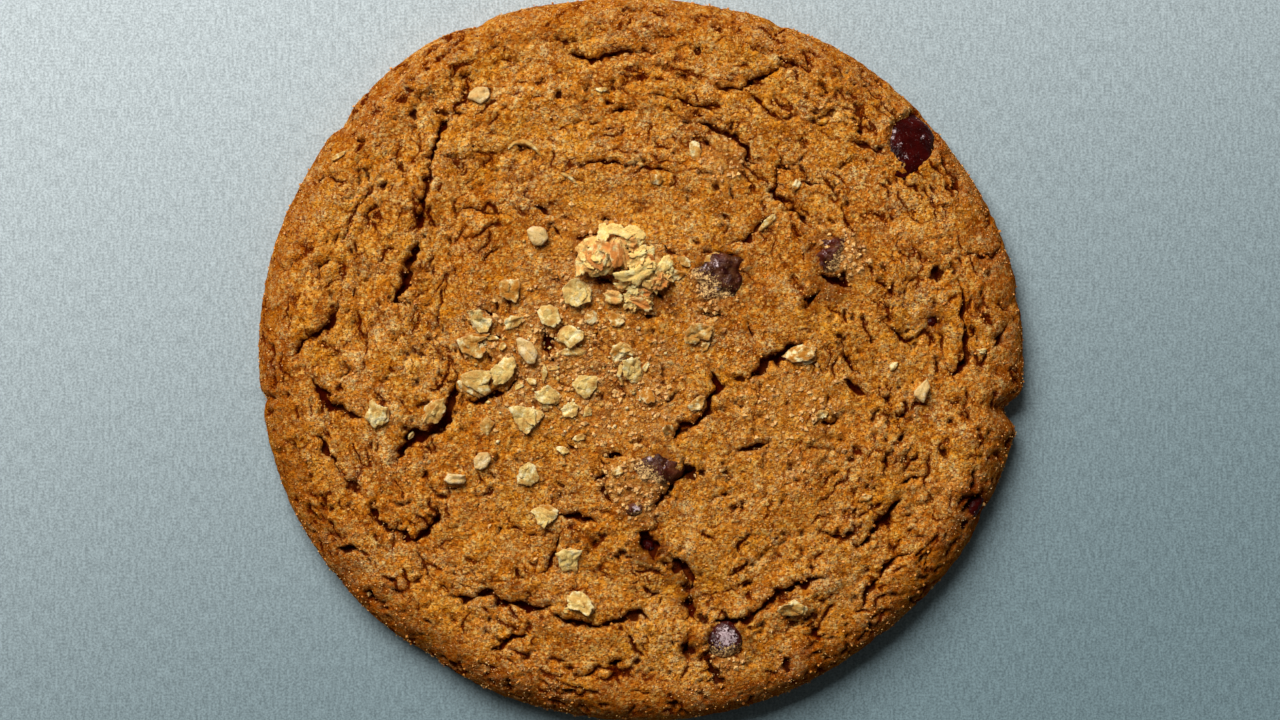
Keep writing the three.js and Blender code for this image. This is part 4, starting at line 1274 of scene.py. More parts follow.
def chocolate_material(name, dark, light, roughness, gloss, solid, dimples, film=0.0):
    """Dark chocolate: greyed over with fat bloom and painted highlights where its point values say so, filmed
    with brown dust, and crumbed where its dusty value says so."""
    n = Nodes(name)
    colour = n.mix(n.span(n.noise(2.5, 2), 0.35, 0.65), dark, light)
    dusty_film = n.span(n.noise(1.1, 3, 0.7), 0.4, 0.62, 0, film)
    colour = n.mix(dusty_film, colour, srgb(138, 88, 48))
    speckle = n.noise(0.55, 3, 0.75)
    speckled = n.math("MULTIPLY", n.math("SUBTRACT", speckle, 0.5), 2.4)
    # Grey where the point values say so: fat bloom, and painted highlights on the shiny and crumbed chips
    bloom_and_glint_cover = n.math("ADD", n.math("MULTIPLY", n.attribute("frost"), solid), speckled)
    bloom_and_glint_cover = n.span(bloom_and_glint_cover, 0.4, 0.7, 0, 0.85)
    bloom_and_glint_colour = n.mix(n.span(speckle, 0.4, 0.6), srgb(150, 122, 128), srgb(220, 198, 202))
    colour = n.mix(bloom_and_glint_cover, colour, bloom_and_glint_colour)
    # Pale specks: crumbs of sugar, and painted pinpoint highlights
    specks_and_glints = n.span(n.noise(0.4, 2, 0.6), 0.7, 0.76)
    colour = n.mix(n.math("MULTIPLY", specks_and_glints, 0.7), colour, srgb(196, 140, 126))
    crumb = n.math("ADD", n.noise(0.45, 3, 0.8), n.math("MULTIPLY", n.attribute("dusty"), 0.4))
    dust = n.span(crumb, 0.74, 0.78)
    dust_colour = n.mix(n.span(n.noise(0.4, 3, 0.8), 0.42, 0.58), srgb(92, 40, 14), srgb(244, 200, 132))
    colour = n.mix(dust, colour, dust_colour)
    n.feed(n.shader.inputs["Base Color"], colour)
    dull = n.math("MAXIMUM", dusty_film, n.math("MAXIMUM", dust, bloom_and_glint_cover))
    n.feed(n.shader.inputs["Roughness"], n.math("MAXIMUM", roughness, n.math("MULTIPLY", dull, 0.85)))
    n.shader.inputs["Specular IOR Level"].default_value = gloss
    lumpy = n.bump(n.noise(0.9, 3, 0.6), dimples)
    dusting = n.math("MULTIPLY", dust, n.noise(0.3, 2))
    n.feed(n.shader.inputs["Normal"], n.bump(dusting, 0.3, lumpy))
    return n.material


# ---- Pieces ----

def make_dough():
    """The cookie itself. Also gives how each of its points is baked and where shade is painted on it."""
    rings = dough_rings()
    place = np.vstack([ring[0] for ring in rings])
    normal = np.vstack([ring[1] for ring in rings])
    moved, values = shape_dough(place, normal)
    dough = new_object("cookie_dough", moved, dough_faces(rings), dough_material())
    for name, numbers in values.items():
        point_values(dough, name, numbers)
    add_unwrap(dough, place)
    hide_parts("dough")
    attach(dough, "root")
    return dough, values


def add_unwrap(dough, place):
    """Lays the top and rim out as one large disc, and the underside as a small one in the corner."""
    mesh = dough.data
    angle = np.arctan2(place[:, 1], place[:, 0])
    reach = np.hypot(place[:, 0], place[:, 1]) / outline_radius(angle)
    below = smoothstep(WIDEST_HEIGHT, 0, place[:, 2])
    big = 0.38 * reach + 0.03 * below
    top_uv = np.column_stack([0.43 + big * np.cos(angle), 0.43 + big * np.sin(angle)])
    low_uv = np.column_stack([0.86 + 0.13 * reach * np.cos(angle), 0.86 + 0.13 * reach * np.sin(angle)])
    corners = np.empty(len(mesh.loops), dtype=np.int64)
    mesh.loops.foreach_get("vertex_index", corners)
    on_base = (place[:, 2] < 1e-6)[corners].reshape(-1, 3).all(axis=1).repeat(3)
    layer = mesh.uv_layers.new(name="OFBake")
    layer.data.foreach_set("uv", np.where(on_base[:, None], low_uv[corners], top_uv[corners]).ravel())


def make_grains(name, ground, values, count, sizes, sink, seed, material, keep_cracks, patchy,
                where="sugary"):
    """Grains bedded all over the top and rim, thicker where the crust is sugary or crumby, few in cracks."""
    rng = np.random.default_rng(seed)
    inner = 1 + 3 * (TOP_RINGS - 1) * TOP_RINGS
    batch = Batch()
    while batch.count < count * GRAIN_CORNERS:
        at = rng.integers(1, inner)
        if values["crack"][at] > 0.3 and rng.random() > keep_cracks:
            continue
        if rng.random() > 1 - patchy + patchy * values[where][at]:
            continue
        size = rng.uniform(*sizes)
        normal = ground.normals[at]
        middle = ground.points[at] + rng.uniform(-0.18, 0.18, 3) * (1, 1, 0) + normal * size * sink
        batch.add(grain(size, rng) + middle, GRAIN_FACES, tint=rng.random())
    grains = batch.make(name, material, smooth=False)
    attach(grains, "root")


def bed_plate(batch, ground, rng, x, y, corners, thickness, lift, lean, tint, **shape):
    """Sets one flake or kernel on the dough."""
    points, faces, edge = plate(corners, rng, thickness, **shape)
    height, normal = ground.level(x, y, 1.2)
    points = turned(points, normal, 0, lean, rng.uniform(0, 360))
    batch.add(points + (x, y, height + lift), faces, tint=tint, edge=edge)


# Outlines of the larger flakes, corner by corner from each one's middle (mm), and how toasted it is
FLAKES = [
    (0.25, [(-2.2, 0.6), (-0.5, 2.1), (0.2, 2.1), (1.5, 1.3), (2.2, 0.1), (2.2, -1.3), (0.3, -2.2),
            (-1.7, -1.7)]),
    (0.65, [(-1.6, 0.2), (-1.2, 1.3), (1.3, 1.6), (1.6, 0.6), (1.1, -1.8), (0.2, -1.7), (-1.2, -1.1)]),
    (0.35, [(-1.7, 1.8), (-0.4, 1.5), (0.3, 0.5), (1.8, 0.3), (1.6, -0.3), (0.9, -1.8), (-0.2, -1.8),
            (-1.0, -0.6)]),
    (0.3, [(-1.6, 0.7), (-0.8, 1.7), (0.3, 1.6), (1.6, 1.4), (1.7, 0.3), (2.2, -0.6), (1.0, -1.9),
           (-0.8, -1.2)]),
    (0.3, [(-1.7, 0.2), (-0.7, 1.6), (0.1, 1.7), (1.1, 0.9), (2.0, 0.5), (1.9, -0.6), (0.1, -1.9),
           (-1.8, -0.7)]),
    (0.6, [(-2.4, 0.9), (-0.8, 1.5), (2.4, 1.2), (0.6, 0.3), (1.8, -1.4), (1.2, -2.0), (-1.4, -1.1)]),
    (0.4, [(-2.2, 0.5), (-1.1, 1.2), (0.8, 1.5), (1.8, 1.2), (2.4, -1.9), (1.8, -2.6), (-0.2, -1.5),
           (-1.7, -0.8)]),
    (0.2, [(-2.4, -0.3), (-1.1, 1.0), (0.1, 1.8), (1.4, 1.8), (1.7, 0.8), (0.8, -1.2), (-0.5, -2.2),
           (-1.8, -2.4)]),
    (0.3, [(-2.0, 0.5), (-0.2, 1.7), (1.7, 0.1), (1.8, -0.8), (0.7, -1.8), (0.5, -2.5), (-0.3, -2.2),
           (-1.8, -0.2)]),
    (0.25, [(-2.0, 0.3), (-1.0, 1.5), (0.2, 1.7), (1.9, 1.5), (1.9, 0.1), (1.0, -1.3), (0, -1.9),
            (-1.0, -1.3)]),
    (0.55, [(-1.8, -0.3), (-1.4, 0.8), (0.4, 1.2), (1.6, 0.3), (1.7, -0.8), (0.6, -0.6), (-0.3, -1.3),
            (-1.2, -1.9)]),
    (0.2, [(-1.4, 1.6), (-0.2, 2.2), (0.9, 2.1), (1.5, 1.2), (1.5, -0.5), (0.9, -1.2), (-0.5, -1.2),
           (-1.2, -0.4)]),
    (0.2, [(-2.3, 1.4), (-1.2, 1.7), (0.2, 1.6), (2.8, 0.9), (3.1, 0), (1.7, -1.4), (0.5, -2.6),
           (-0.4, -2.1)]),
    (0.6, [(-1.9, 0.3), (-1.0, 1.3), (0.4, 1.6), (2.3, 1.0), (1.9, -1.2), (0.6, -0.9), (-0.7, -1.4),
           (-1.7, -0.8)]),
    (0.35, [(-0.1, 1.9), (0.9, 1.6), (1.6, -0.4), (1.4, -1.0), (0.3, -1.7), (-1.7, -1.4), (-1.7, -0.2)]),
    (0.3, [(-2.0, 0.8), (-1.0, 1.4), (0.5, 1.3), (2.1, 0.3), (1.3, -0.7), (0.5, -1.3), (-1.0, -1.2),
           (-1.3, -0.1)]),
    (0.2, [(-1.9, 0.9), (-0.7, 1.6), (2.3, 1.5), (1.6, 0.5), (1.4, -2.3), (0.4, -1.7), (-1.0, -2.0),
           (-1.3, -0.4)]),
    (0.3, [(-2.3, 0.7), (-1.2, 1.6), (-0.4, 1.7), (0.6, 1.2), (1.5, 0.2), (2.1, -1.0), (1.0, -2.1),
           (-1.1, -0.8)]),
    (0.35, [(-1.1, 2.4), (-0.3, 2.3), (0.2, 1.6), (1.6, 1.3), (1.4, -0.6), (-0.5, -1.8), (-1.9, -0.2),
            (-1.2, 1.2)]),
    (0.45, [(0.3, 1.9), (1.2, 2.1), (1.6, 0.3), (1.0, -0.9), (0.4, -1.7), (-1.9, -1.7), (-1.4, -0.5),
            (-1.4, 0.7)]),
    (0.5, [(-2.5, 0.2), (-1.2, 1.0), (0.8, 1.1), (2.3, 0.4), (2.0, -0.7), (0.2, -1.1), (-1.6, -0.9)]),
    (0.75, [(-2.6, -0.2), (-1.2, 1.3), (0.6, 1.5), (2.3, 0.9), (2.4, -0.3), (1.0, -1.2), (-1.0, -1.3)]),
]

# Smaller and half-bedded flakes and bran: x, y, length, width, turn, how toasted
SMALL_FLAKES = [
    (-18.9, 5.8, 3.4, 2.3, 20, 0.4),
    (-7.2, 6.2, 2.6, 2.4, 20, 0.75),
    (-3.6, 6.0, 2.8, 2.2, -15, 0.7),
    (-10.0, 1.2, 4.4, 1.9, -5, 0.5),
    (-16.1, -3.2, 1.8, 1.1, -25, 0.4),
    (-14.2, -2.0, 2.9, 0.9, 85, 0.45),
    (-12.9, -1.2, 2.2, 0.8, 0, 0.4),
    (-10.4, -7.4, 2.8, 2.6, 30, 0.3),
    (-7.8, -7.7, 1.6, 2.0, 0, 0.3),
    (-22.8, -9.8, 3.4, 2.1, 70, 0.5),
    (-11.5, -13.4, 2.2, 1.2, -20, 0.3),
    (1.1, -5.3, 3.4, 2.4, -50, 0.85),
    (8.5, -6.5, 3.6, 2.4, 30, 0.65),
    (-20.4, 2.0, 1.4, 1.1, 50, 0.4),
    (-22.0, 3.3, 2.0, 0.8, 0, 0.4),
    (-18.0, -3.9, 1.9, 0.9, 30, 0.1),
    (-3.3, -16.5, 2.1, 1.7, 10, 0.6),
    (8.2, 31.2, 3.2, 2.1, 100, 0.6),
    (2.4, 26.9, 2.5, 2.0, 0, 0.7),
    (19.0, 20.5, 4.0, 1.1, 42, 0.5),
    (-5.7, 40.2, 2.0, 0.8, 0, 0.5),
    (-45.0, 30.4, 2.8, 0.9, 25, 0.55),
    (-45.9, 28.4, 1.3, 0.8, -30, 0.6),
    (27.0, -8.0, 2.0, 1.4, 10, 0.4),
    (37.7, -1.0, 2.0, 1.2, 30, 0.3),
    (51.0, 1.4, 1.3, 1.0, 0, 0.3),
    (-34.1, -11.2, 1.4, 0.8, 50, 0.2),
    (-10.7, -37.2, 1.4, 1.0, 10, 0.1),
    (-2.9, -1.6, 2.3, 0.9, 80, 0.35),
    (0.9, -1.0, 1.6, 1.0, 60, 0.2),
    (10.8, 15.2, 2.6, 1.6, 20, 0.6),
    (5.4, 12.6, 3.0, 2.0, 10, 0.65),
    (6.6, 14.6, 2.4, 1.4, -30, 0.6),
    (4.2, -10.5, 3.2, 1.8, -20, 0.6),
    (23.2, 26.0, 2.2, 1.4, 60, 0.7),
    (9.8, 2.0, 2.2, 1.4, 30, 0.6),
    (-9.0, -11.5, 2.2, 1.2, 20, 0.5),
    (33.5, -20.5, 2.4, 1.2, 20, 0.75),
]

# The clump's middle, as in the two lists after it
CLUMP_AT = (-2.6, 15.6)
# The clump's cores: x, y, across, along, height
CLUMP_CORES = [
    (-6.0, 15.4, 6.6, 5.4, 3.0),
    (-2.4, 17.4, 6.2, 4.4, 2.7),
    (0.2, 14.8, 5.6, 4.8, 2.6),
    (-0.6, 11.4, 4.6, 4.8, 1.7),
    (2.6, 12.6, 4.6, 4.2, 1.6),
    (0.0, 8.9, 4.0, 2.4, 0.9),
]
BITS_ON_A_CORE = 54
# The clump's flakes: height above the dough, lean, lean to, how toasted, and corners
CLUMP_FLAKES = [
    (1.7, 30, 190, 0.5, [(-9.4, 14.4), (-9, 15.6), (-8.3, 16.7), (-7.5, 17.2), (-7.3, 15.8), (-7.9, 14.4),
                         (-8.1, 13),
                         (-9, 12.9)]),
    (2.2, 25, 130, 0.3, [(-8.2, 17.9), (-7.2, 18.4), (-6.2, 18.4), (-6, 17.4), (-6.8, 16.8), (-8, 17)]),
    (2.2, 35, 240, 0.3, [(-7.7, 13.8), (-7.4, 12.7), (-6.2, 12.5), (-5.4, 13), (-5.5, 14.3), (-6.8, 14.6)]),
    (2.3, 35, 290, 0.4, [(-5.9, 14), (-5.6, 12.7), (-4.6, 12.9), (-3.9, 14.1), (-4.6, 14.8)]),
    (3.0, 15, 160, 1.0, [(-7.4, 16.7), (-6.2, 17.3), (-5, 17.2), (-4.6, 16), (-4.9, 14.6), (-5.7, 13.7),
                         (-6.9, 14.1),
                         (-7.6, 15.4)]),
    (3.3, 15, 60, 0.7, [(-6.4, 17.6), (-5.2, 17.9), (-4.2, 17.2), (-3.4, 16.7), (-3.8, 15.6), (-4.9, 15.9),
                        (-6, 16.4)]),
    (3.5, 20, 340, 1.1, [(-4.2, 17.2), (-3.1, 17.2), (-2.3, 16.3), (-2.2, 15.2), (-2.9, 14.2),
                         (-3.9, 13.9), (-4.3, 15.4)]),
    (3.1, 40, 350, 0.5, [(-3, 17.9), (-2.2, 17.1), (-1.5, 15.7), (-1.3, 14.6), (-1.9, 13.9), (-2.4, 14.5),
                         (-2.8, 16.4)]),
    (2.5, 25, 130, 0.1, [(-6.1, 19), (-5.9, 19.9), (-5.1, 20.3), (-4.5, 19.6), (-4.4, 18.4), (-4.9, 17.6),
                         (-5.9, 18.1)]),
    (3.1, 12, 80, 0.1, [(-4.6, 19.8), (-3.7, 20.3), (-2.8, 20.1), (-2.2, 19.4), (-1.1, 18.7), (-1.9, 18),
                        (-3, 18.7),
                        (-4.3, 18.8)]),
    (3.0, 22, 230, 0.6, [(-3.2, 18.2), (-2, 18.5), (-0.6, 18.2), (-0.3, 17.6), (-1.1, 16.9), (-2, 17.1),
                         (-2.9, 17.6)]),
    (2.4, 14, 50, 0.0, [(-2.2, 19.5), (-1.5, 20.1), (-0.4, 19.9), (0.3, 19.3), (0.9, 18.7), (0.4, 18.1),
                        (-0.9, 18.3)]),
    (2.9, 22, 120, 0.2, [(-1.5, 15.9), (-0.6, 16.3), (0.2, 16.9), (0.9, 17), (0.9, 16), (0.2, 15.5),
                         (-1, 15.2)]),
    (2.6, 20, 300, 0.3, [(-1.4, 15), (-0.4, 15.6), (0.7, 15.6), (0.5, 14.9), (-0.2, 14.4), (-1.2, 14.1)]),
    (2.2, 12, 60, 0.3, [(0.8, 16.9), (2.1, 17), (2.3, 16.3), (2, 15.7), (0.9, 15.8)]),
    (2.3, 20, 300, 0.9, [(0.9, 15.9), (2, 15.8), (2.3, 15.1), (1.4, 14.9), (0.8, 15.2)]),
    (2.9, 16, 310, 0.05, [(-3.8, 13.1), (-2.6, 13.3), (-1, 13.6), (0.2, 14.3), (1.5, 14.7), (2.2, 14.3),
                          (2.2, 13.4),
                          (1.2, 12.7), (0.3, 12), (-0.3, 11.2), (-0.9, 11.3), (-1.2, 12), (-2.3, 11.9),
                          (-3.2, 12.3)]),
    (2.4, 30, 250, 0.2, [(-3.7, 13), (-2.4, 12.9), (-2, 12.1), (-2.6, 11.8), (-3.5, 12.3)]),
    (1.7, 18, 30, 0.15, [(2.8, 14.3), (3.4, 15.2), (4.2, 15.8), (4.6, 15), (5.1, 14.8), (4.8, 14.1),
                         (3.7, 13.2),
                         (3.2, 13.7)]),
    (1.9, 22, 340, 0.5, [(2.2, 14.1), (3, 14.2), (3.5, 13.4), (3.9, 12.5), (2.9, 12.3), (2.3, 13)]),
    (1.6, 28, 320, 0.8, [(2, 12.2), (3.4, 12.3), (4.1, 11.9), (3.9, 11.1), (2.9, 10.6), (2.1, 10.9),
                         (1.9, 11.6)]),
    (1.9, 30, 280, 0.3, [(0.6, 12), (1.7, 12), (1.9, 11.2), (1.6, 10.6), (0.8, 11)]),
    (1.2, 18, 250, 0.5, [(-5.2, 9.9), (-4.6, 10.5), (-3.3, 10.4), (-2.6, 9.8), (-2.6, 8.9), (-3.5, 8.6),
                         (-4.7, 8.6)]),
    (1.3, 40, 240, 0.3, [(-3.7, 11.7), (-2.8, 11.5), (-2.2, 10.8), (-2.5, 10.3), (-3.3, 10.8)]),
    (1.5, 24, 300, 0.9, [(-0.5, 10.5), (0.6, 10.8), (1.7, 10.2), (1.3, 9.5), (0.2, 9.4), (-0.4, 9.8)]),
    (1.2, 26, 270, 0.8, [(-1.2, 9.2), (0.3, 9.5), (1.5, 8.5), (1.7, 7.8), (1.1, 7.4), (0, 8.1), (-1, 8.6)]),
    (1.0, 20, 220, 0.4, [(-2.3, 10), (-1.3, 10.1), (-1.1, 9.3), (-2.2, 9.1)]),
    (0.8, 20, 240, 0.4, [(-2.3, 8.4), (-1.3, 8.7), (-1, 8.1), (-2.2, 7.7)]),
]

# Strips of bran: width and the way each one runs
HUSKS = [
    (0.9, [(-19.6, 31.4), (-18.6, 32.4), (-16.9, 32.4), (-15.4, 31.4), (-14.6, 30.2)]),
    (0.7, [(-12.1, 27.9), (-10.6, 27.3), (-9.4, 26.2)]),
    (0.6, [(-3.2, -1.4), (-3.0, -2.6), (-2.5, -3.8)]),
    (0.7, [(18.0, 19.3), (19.0, 20.6), (20.2, 21.8)]),
]


OAT_BITS = 170                 # loose bits among the flakes left of the middle


def bed_flake(batch, ground, rng, x, y, corners, tint):
    """Sets one flake on the dough, with a more toasted layer showing from under it and a torn one on top."""
    corners = np.array(corners)
    reach = np.hypot(*corners.T).max()
    aside = rng.uniform(-0.28, 0.28, 2) * reach
    under = (corners * rng.uniform(0.75, 0.95)).tolist()
    bed_plate(batch, ground, rng, x + aside[0], y + aside[1], under, thickness=0.6, lift=0.15,
              lean=rng.uniform(2, 8), tint=tint + 0.35, cup=rng.uniform(-0.1, 0.2))
    bed_plate(batch, ground, rng, x, y, corners.tolist(), thickness=0.7, lift=0.6, lean=rng.uniform(4, 13),
              tint=tint, cup=rng.uniform(-0.15, 0.3), fold=rng.uniform(-0.25, 0.25),
              crease=rng.uniform(0.0, 0.35))
    if reach > 1.9:
        aside = rng.uniform(-0.35, 0.35, 2) * reach
        torn = random_corners(rng, reach * 1.1, reach * 0.8, rng.uniform(0, 360))
        bed_plate(batch, ground, rng, x + aside[0], y + aside[1], torn, thickness=0.4, lift=0.8,
                  lean=rng.uniform(6, 16), tint=tint - 0.1)


def make_oat_flakes(ground):
    """The rolled-oat flakes that lie loose on the top or are half baked in."""
    rng = np.random.default_rng(21)
    batch = Batch()
    names = []
    for number, (tint, corners) in enumerate(FLAKES, 1):
        name = "oat_flake_%d" % number
        names.append(name)
        middle, _ = node_middle(name)
        bed_flake(batch, ground, rng, middle[0], middle[1], corners, tint)
    for x, y, length, width, turn, tint in SMALL_FLAKES:
        bed_plate(batch, ground, rng, x, y, random_corners(rng, length, width, turn),
                  thickness=0.6, lift=0.25, lean=rng.uniform(4, 16), tint=tint, cup=rng.uniform(-0.2, 0.3),
                  crease=rng.uniform(0.0, 0.2), jag=0.06)
    for width, way in HUSKS:
        middle = np.mean(way, axis=0)
        points, faces = husk(way - middle, width, 0.3)
        height, normal = ground.level(middle[0], middle[1], 1.5)
        batch.add(turned(points, normal) + (middle[0], middle[1], height + 0.25), faces, tint=0.5, edge=0.6)
    for _ in range(OAT_BITS):
        x = rng.normal(-13, 7)
        y = rng.normal(-1, 7)
        points = grain(rng.uniform(0.5, 1.1), rng) * (1, 1, 0.6)
        at = (x, y, ground.height(x, y) + 0.1)
        batch.add(points + at, GRAIN_FACES, tint=rng.uniform(0.2, 0.9), edge=0.0)
    material = oat_material("rolled_oats", srgb(184, 116, 32), srgb(232, 200, 120), srgb(252, 236, 184))
    flakes = batch.make("oat_flakes", material)
    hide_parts(*names)
    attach(flakes, "root")


# The whiter kernels: turned outline length, width, turn, height (mm)
KERNELS = [
    (3.8, 3.2, -20, 1.7),
    (3.8, 2.0, 0, 1.5),
    (5.2, 2.9, -52, 1.5),
    (4.1, 2.4, 65, 1.6),
]
# More of them, too small or too deeply baked in for a solid: x, y, length, width, turn
SUNK_KERNELS = [
    (-23.4, -14.9, 3.2, 2.4, 40),
    (-11.0, 3.9, 0.9, 0.8, 0),
    (-23.8, 39.4, 3.6, 2.6, 10),
]


def make_kernels(ground):
    """The rounder, whiter kernels, smoother than the flakes."""
    rng = np.random.default_rng(33)
    batch = Batch()
    for number, (length, width, turn, height) in enumerate(KERNELS, 1):
        middle, _ = node_middle("oat_kernel_%d" % number)
        bed_plate(batch, ground, rng, middle[0], middle[1], random_corners(rng, length, width, turn),
                  thickness=height, lift=0.55, lean=5, tint=0.25 * rng.random(), jag=0.015, crease=0.15,
                  dome=0.8)
    for x, y, length, width, turn in SUNK_KERNELS:
        bed_plate(batch, ground, rng, x, y, random_corners(rng, length, width, turn),
                  thickness=1.2, lift=0.3, lean=5, tint=0.25, jag=0.015, crease=0.1, dome=0.8)
    material = oat_material("oat_groats", srgb(196, 138, 66), srgb(224, 190, 126), srgb(238, 216, 170))
    kernels = batch.make("oat_kernels", material)
    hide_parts("oat_kernel_1", "oat_kernel_2", "oat_kernel_3", "oat_kernel_4")
    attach(kernels, "root")


def make_clump(ground):
    """The granola clump: a lumpy toasted core under flakes stuck at all angles, with crumbs between them."""
    rng = np.random.default_rng(44)
    batch = Batch()
    middle, _ = node_middle("granola_clump")
    level, _ = ground.level(middle[0], middle[1], 4)
    base = np.array((middle[0] - CLUMP_AT[0], middle[1] - CLUMP_AT[1], level))
    for x, y, across, along, high in CLUMP_CORES:
        points, faces = dome(across, along, high, rng, lumps=0.5, rings=12, sides=30)
        batch.add(points * 0.9 + base + (x, y, 0), faces, tint=0.7, edge=0.0)
        for number in range(BITS_ON_A_CORE):
            turn = rng.uniform(0, 2 * math.pi)
            reach = 0.95 * math.sqrt(rng.random())
            up = high * math.sqrt(1 - reach ** 2) + 0.1
            at = (x + across / 2 * reach * math.cos(turn), y + along / 2 * reach * math.sin(turn), up)
            if number % 2:
                points = grain(rng.uniform(0.5, 1.0), rng)
                faces = GRAIN_FACES
                edge = 0.2
            else:
                corners = random_corners(rng, rng.uniform(1.4, 2.8), rng.uniform(1.0, 1.9))
                points, faces, edge = plate(corners, rng, thickness=0.4, cup=rng.uniform(-0.1, 0.3),
                                            jag=0.08, rough=0.6)
                rise = 0.4 + math.sqrt(1 - reach ** 2)
                out = Vector((reach * math.cos(turn), reach * math.sin(turn), rise))
                points = turned(points, out.normalized(), rng.uniform(0, 360), rng.uniform(15, 50),
                                rng.uniform(0, 360))
            batch.add(points + base + at, faces, tint=rng.uniform(0.0, 0.6), edge=edge)
    for up, lean, lean_to, tint, corners in CLUMP_FLAKES:
        centre = np.mean(corners, axis=0)
        points, faces, edge = plate(((corners - centre) * 1.12).tolist(), rng, thickness=0.7, jag=0.075,
                                    rough=0.6, cup=rng.uniform(-0.1, 0.3), fold=rng.uniform(-0.3, 0.3),
                                    crease=rng.uniform(0, 0.3))
        points = turned(points, Vector((0, 0, 1)), 0, lean * 0.75, lean_to)
        batch.add(points + base + (centre[0], centre[1], up), faces, tint=tint, edge=edge)
    material = oat_material("toasted_granola", srgb(222, 140, 66), srgb(252, 214, 128), srgb(255, 238, 172),
                            patchy=0.7)
    clump = batch.make("granola_clump_oats", material)
    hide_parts("granola_clump")
    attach(clump, "root")


def bed_chip(batch, ground, rng, node, across, along, height, proud, lumps, dusty, clear_to, turn, frost,
             shift=(0, 0)):
    """Sets one chip in its hollow, standing proud of the dough, freer of crumb towards one direction, and
    greyed round some places on it: fat bloom, and on the shiny and crumbed chips painted highlights."""
    middle, _ = node_middle(node)
    x = middle[0] + shift[0]
    y = middle[1] + shift[1]
    level, normal = ground.level(x, y, max(across, along) / 2 + 0.6)
    points, faces = dome(across, along, height, rng, lumps)
    points = turned(points, normal, turn)
    clear = math.radians(clear_to)
    way = points[:, 0] * math.cos(clear) + points[:, 1] * math.sin(clear)
    crumb = np.clip(dusty * (0.5 - 2.4 * way / across), 0, 1.3)
    # Greyed places: fat bloom, and on the shiny and crumbed chips painted highlights
    bloomed = np.zeros(len(points))
    for at_x, at_y, reach in frost:
        spot = np.exp(-((points[:, 0] - at_x) ** 2 + (points[:, 1] - at_y) ** 2) / reach ** 2)
        bloomed = np.maximum(bloomed, spot)
    batch.add(points + (x, y, level + proud - height), faces, frost=bloomed, dusty=crumb)


def finish_chips(batch, name, nodes, material):
    """Makes one piece of several chips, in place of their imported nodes."""
    chips = batch.make(name, material)
    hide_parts(*nodes)
    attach(chips, "root")


# The chips: across, along, height, how proud, lumps, crumb, clearer towards, turn, and the places that are
# greyed, each with its reach: fat bloom, and on the shiny and crumbed chips painted highlights
# The shiny chip's greyed places are painted highlights: pinpoints and a streak at its left edge
GLOSSY_CHIP = (8.6, 10.8, 1.9, 1.05, 0.16, 0.0, 90, 0,
               [(-2.6, 1.6, 0.45), (-2.2, 2.7, 0.35), (-1.4, 0.5, 0.4), (-0.5, -1.2, 0.45), (2.2, 1.9, 0.4)])
BLOOMED_CHIP = (5.2, 5.2, 1.9, 1.0, 0.24, 0.65, 95, 0, [(0.05, 0.3, 1.6)])
DUSTY_CHIPS = {
    # Its greyed places: bloom, and a painted highlight on the crest towards the window
    "chip_half_covered": (8.0, 6.6, 2.2, 0.95, 0.6, 0.95, 50, 0,
                          [(-2.2, 1.6, 0.8), (-0.6, 2.2, 0.8), (-0.6, -1.8, 1.0)]),
    # Its greyed places are painted glints on the bare chocolate
    "chip_crumbed": (7.0, 5.6, 2.2, 0.85, 0.7, 1.1, 150, 30,
                     [(-1.6, 1.2, 0.5), (-0.6, 1.6, 0.4), (-1.6, -0.2, 0.4)]),
    "chip_sunken": (6.6, 6.0, 2.2, 0.8, 0.5, 1.0, 50, 0, [(1.4, 0.5, 0.5), (-1.0, 1.6, 0.5)]),
    "chip_sunken_small": (3.0, 2.2, 1.2, 0.45, 0.6, 0.6, 90, 0, [(0.3, 0.0, 0.6)]),
}
# The ones that are shiny and mostly hidden
HIDDEN_CHIPS = {
    # Its greyed place is a painted glint
    "chip_in_hole": (2.6, 1.8, 1.2, -0.7, 0.8, 0.2, 120, -30, [(0.7, -0.5, 0.4)]),
    "chip_dark": (1.7, 1.7, 1.0, 0.1, 0.4, 0.1, 90, 0, []),
    "chip_at_rim": (6.5, 1.9, 1.2, 0.5, 0.5, 0.35, 90, 52, []),
}


def make_chips(ground):
    """The chips in three pieces: shiny ones, the one with a grey bloom, and those under crumb and dust."""
    rng = np.random.default_rng(55)
    batch = Batch()
    bed_chip(batch, ground, rng, "chip_glossy", *GLOSSY_CHIP, shift=(-0.6, -1.6))
    for node, sizes in HIDDEN_CHIPS.items():
        bed_chip(batch, ground, rng, node, *sizes)
    melted = chocolate_material("melted_chocolate", srgb(32, 3, 2), srgb(60, 8, 6), roughness=0.2, gloss=0.06,
                                solid=0.68, dimples=0.3)
    finish_chips(batch, "glossy_chips", ["chip_glossy"] + list(HIDDEN_CHIPS), melted)
    batch = Batch()
    bed_chip(batch, ground, rng, "chip_bloomed", *BLOOMED_CHIP)
    bloomed = chocolate_material("bloomed_chocolate", srgb(44, 5, 3), srgb(78, 18, 10), roughness=0.42,
                                 gloss=0.2, solid=1.0, dimples=0.3)
    finish_chips(batch, "bloomed_chip", ["chip_bloomed"], bloomed)
    batch = Batch()
    for node, sizes in DUSTY_CHIPS.items():
        bed_chip(batch, ground, rng, node, *sizes)
    dusty = chocolate_material("dusty_chocolate", srgb(42, 6, 3), srgb(72, 20, 12), roughness=0.4, gloss=0.15,
                               solid=0.6, dimples=0.4, film=0.3)
    finish_chips(batch, "dusty_chips", list(DUSTY_CHIPS), dusty)


# ---- Camera, floor and light ----

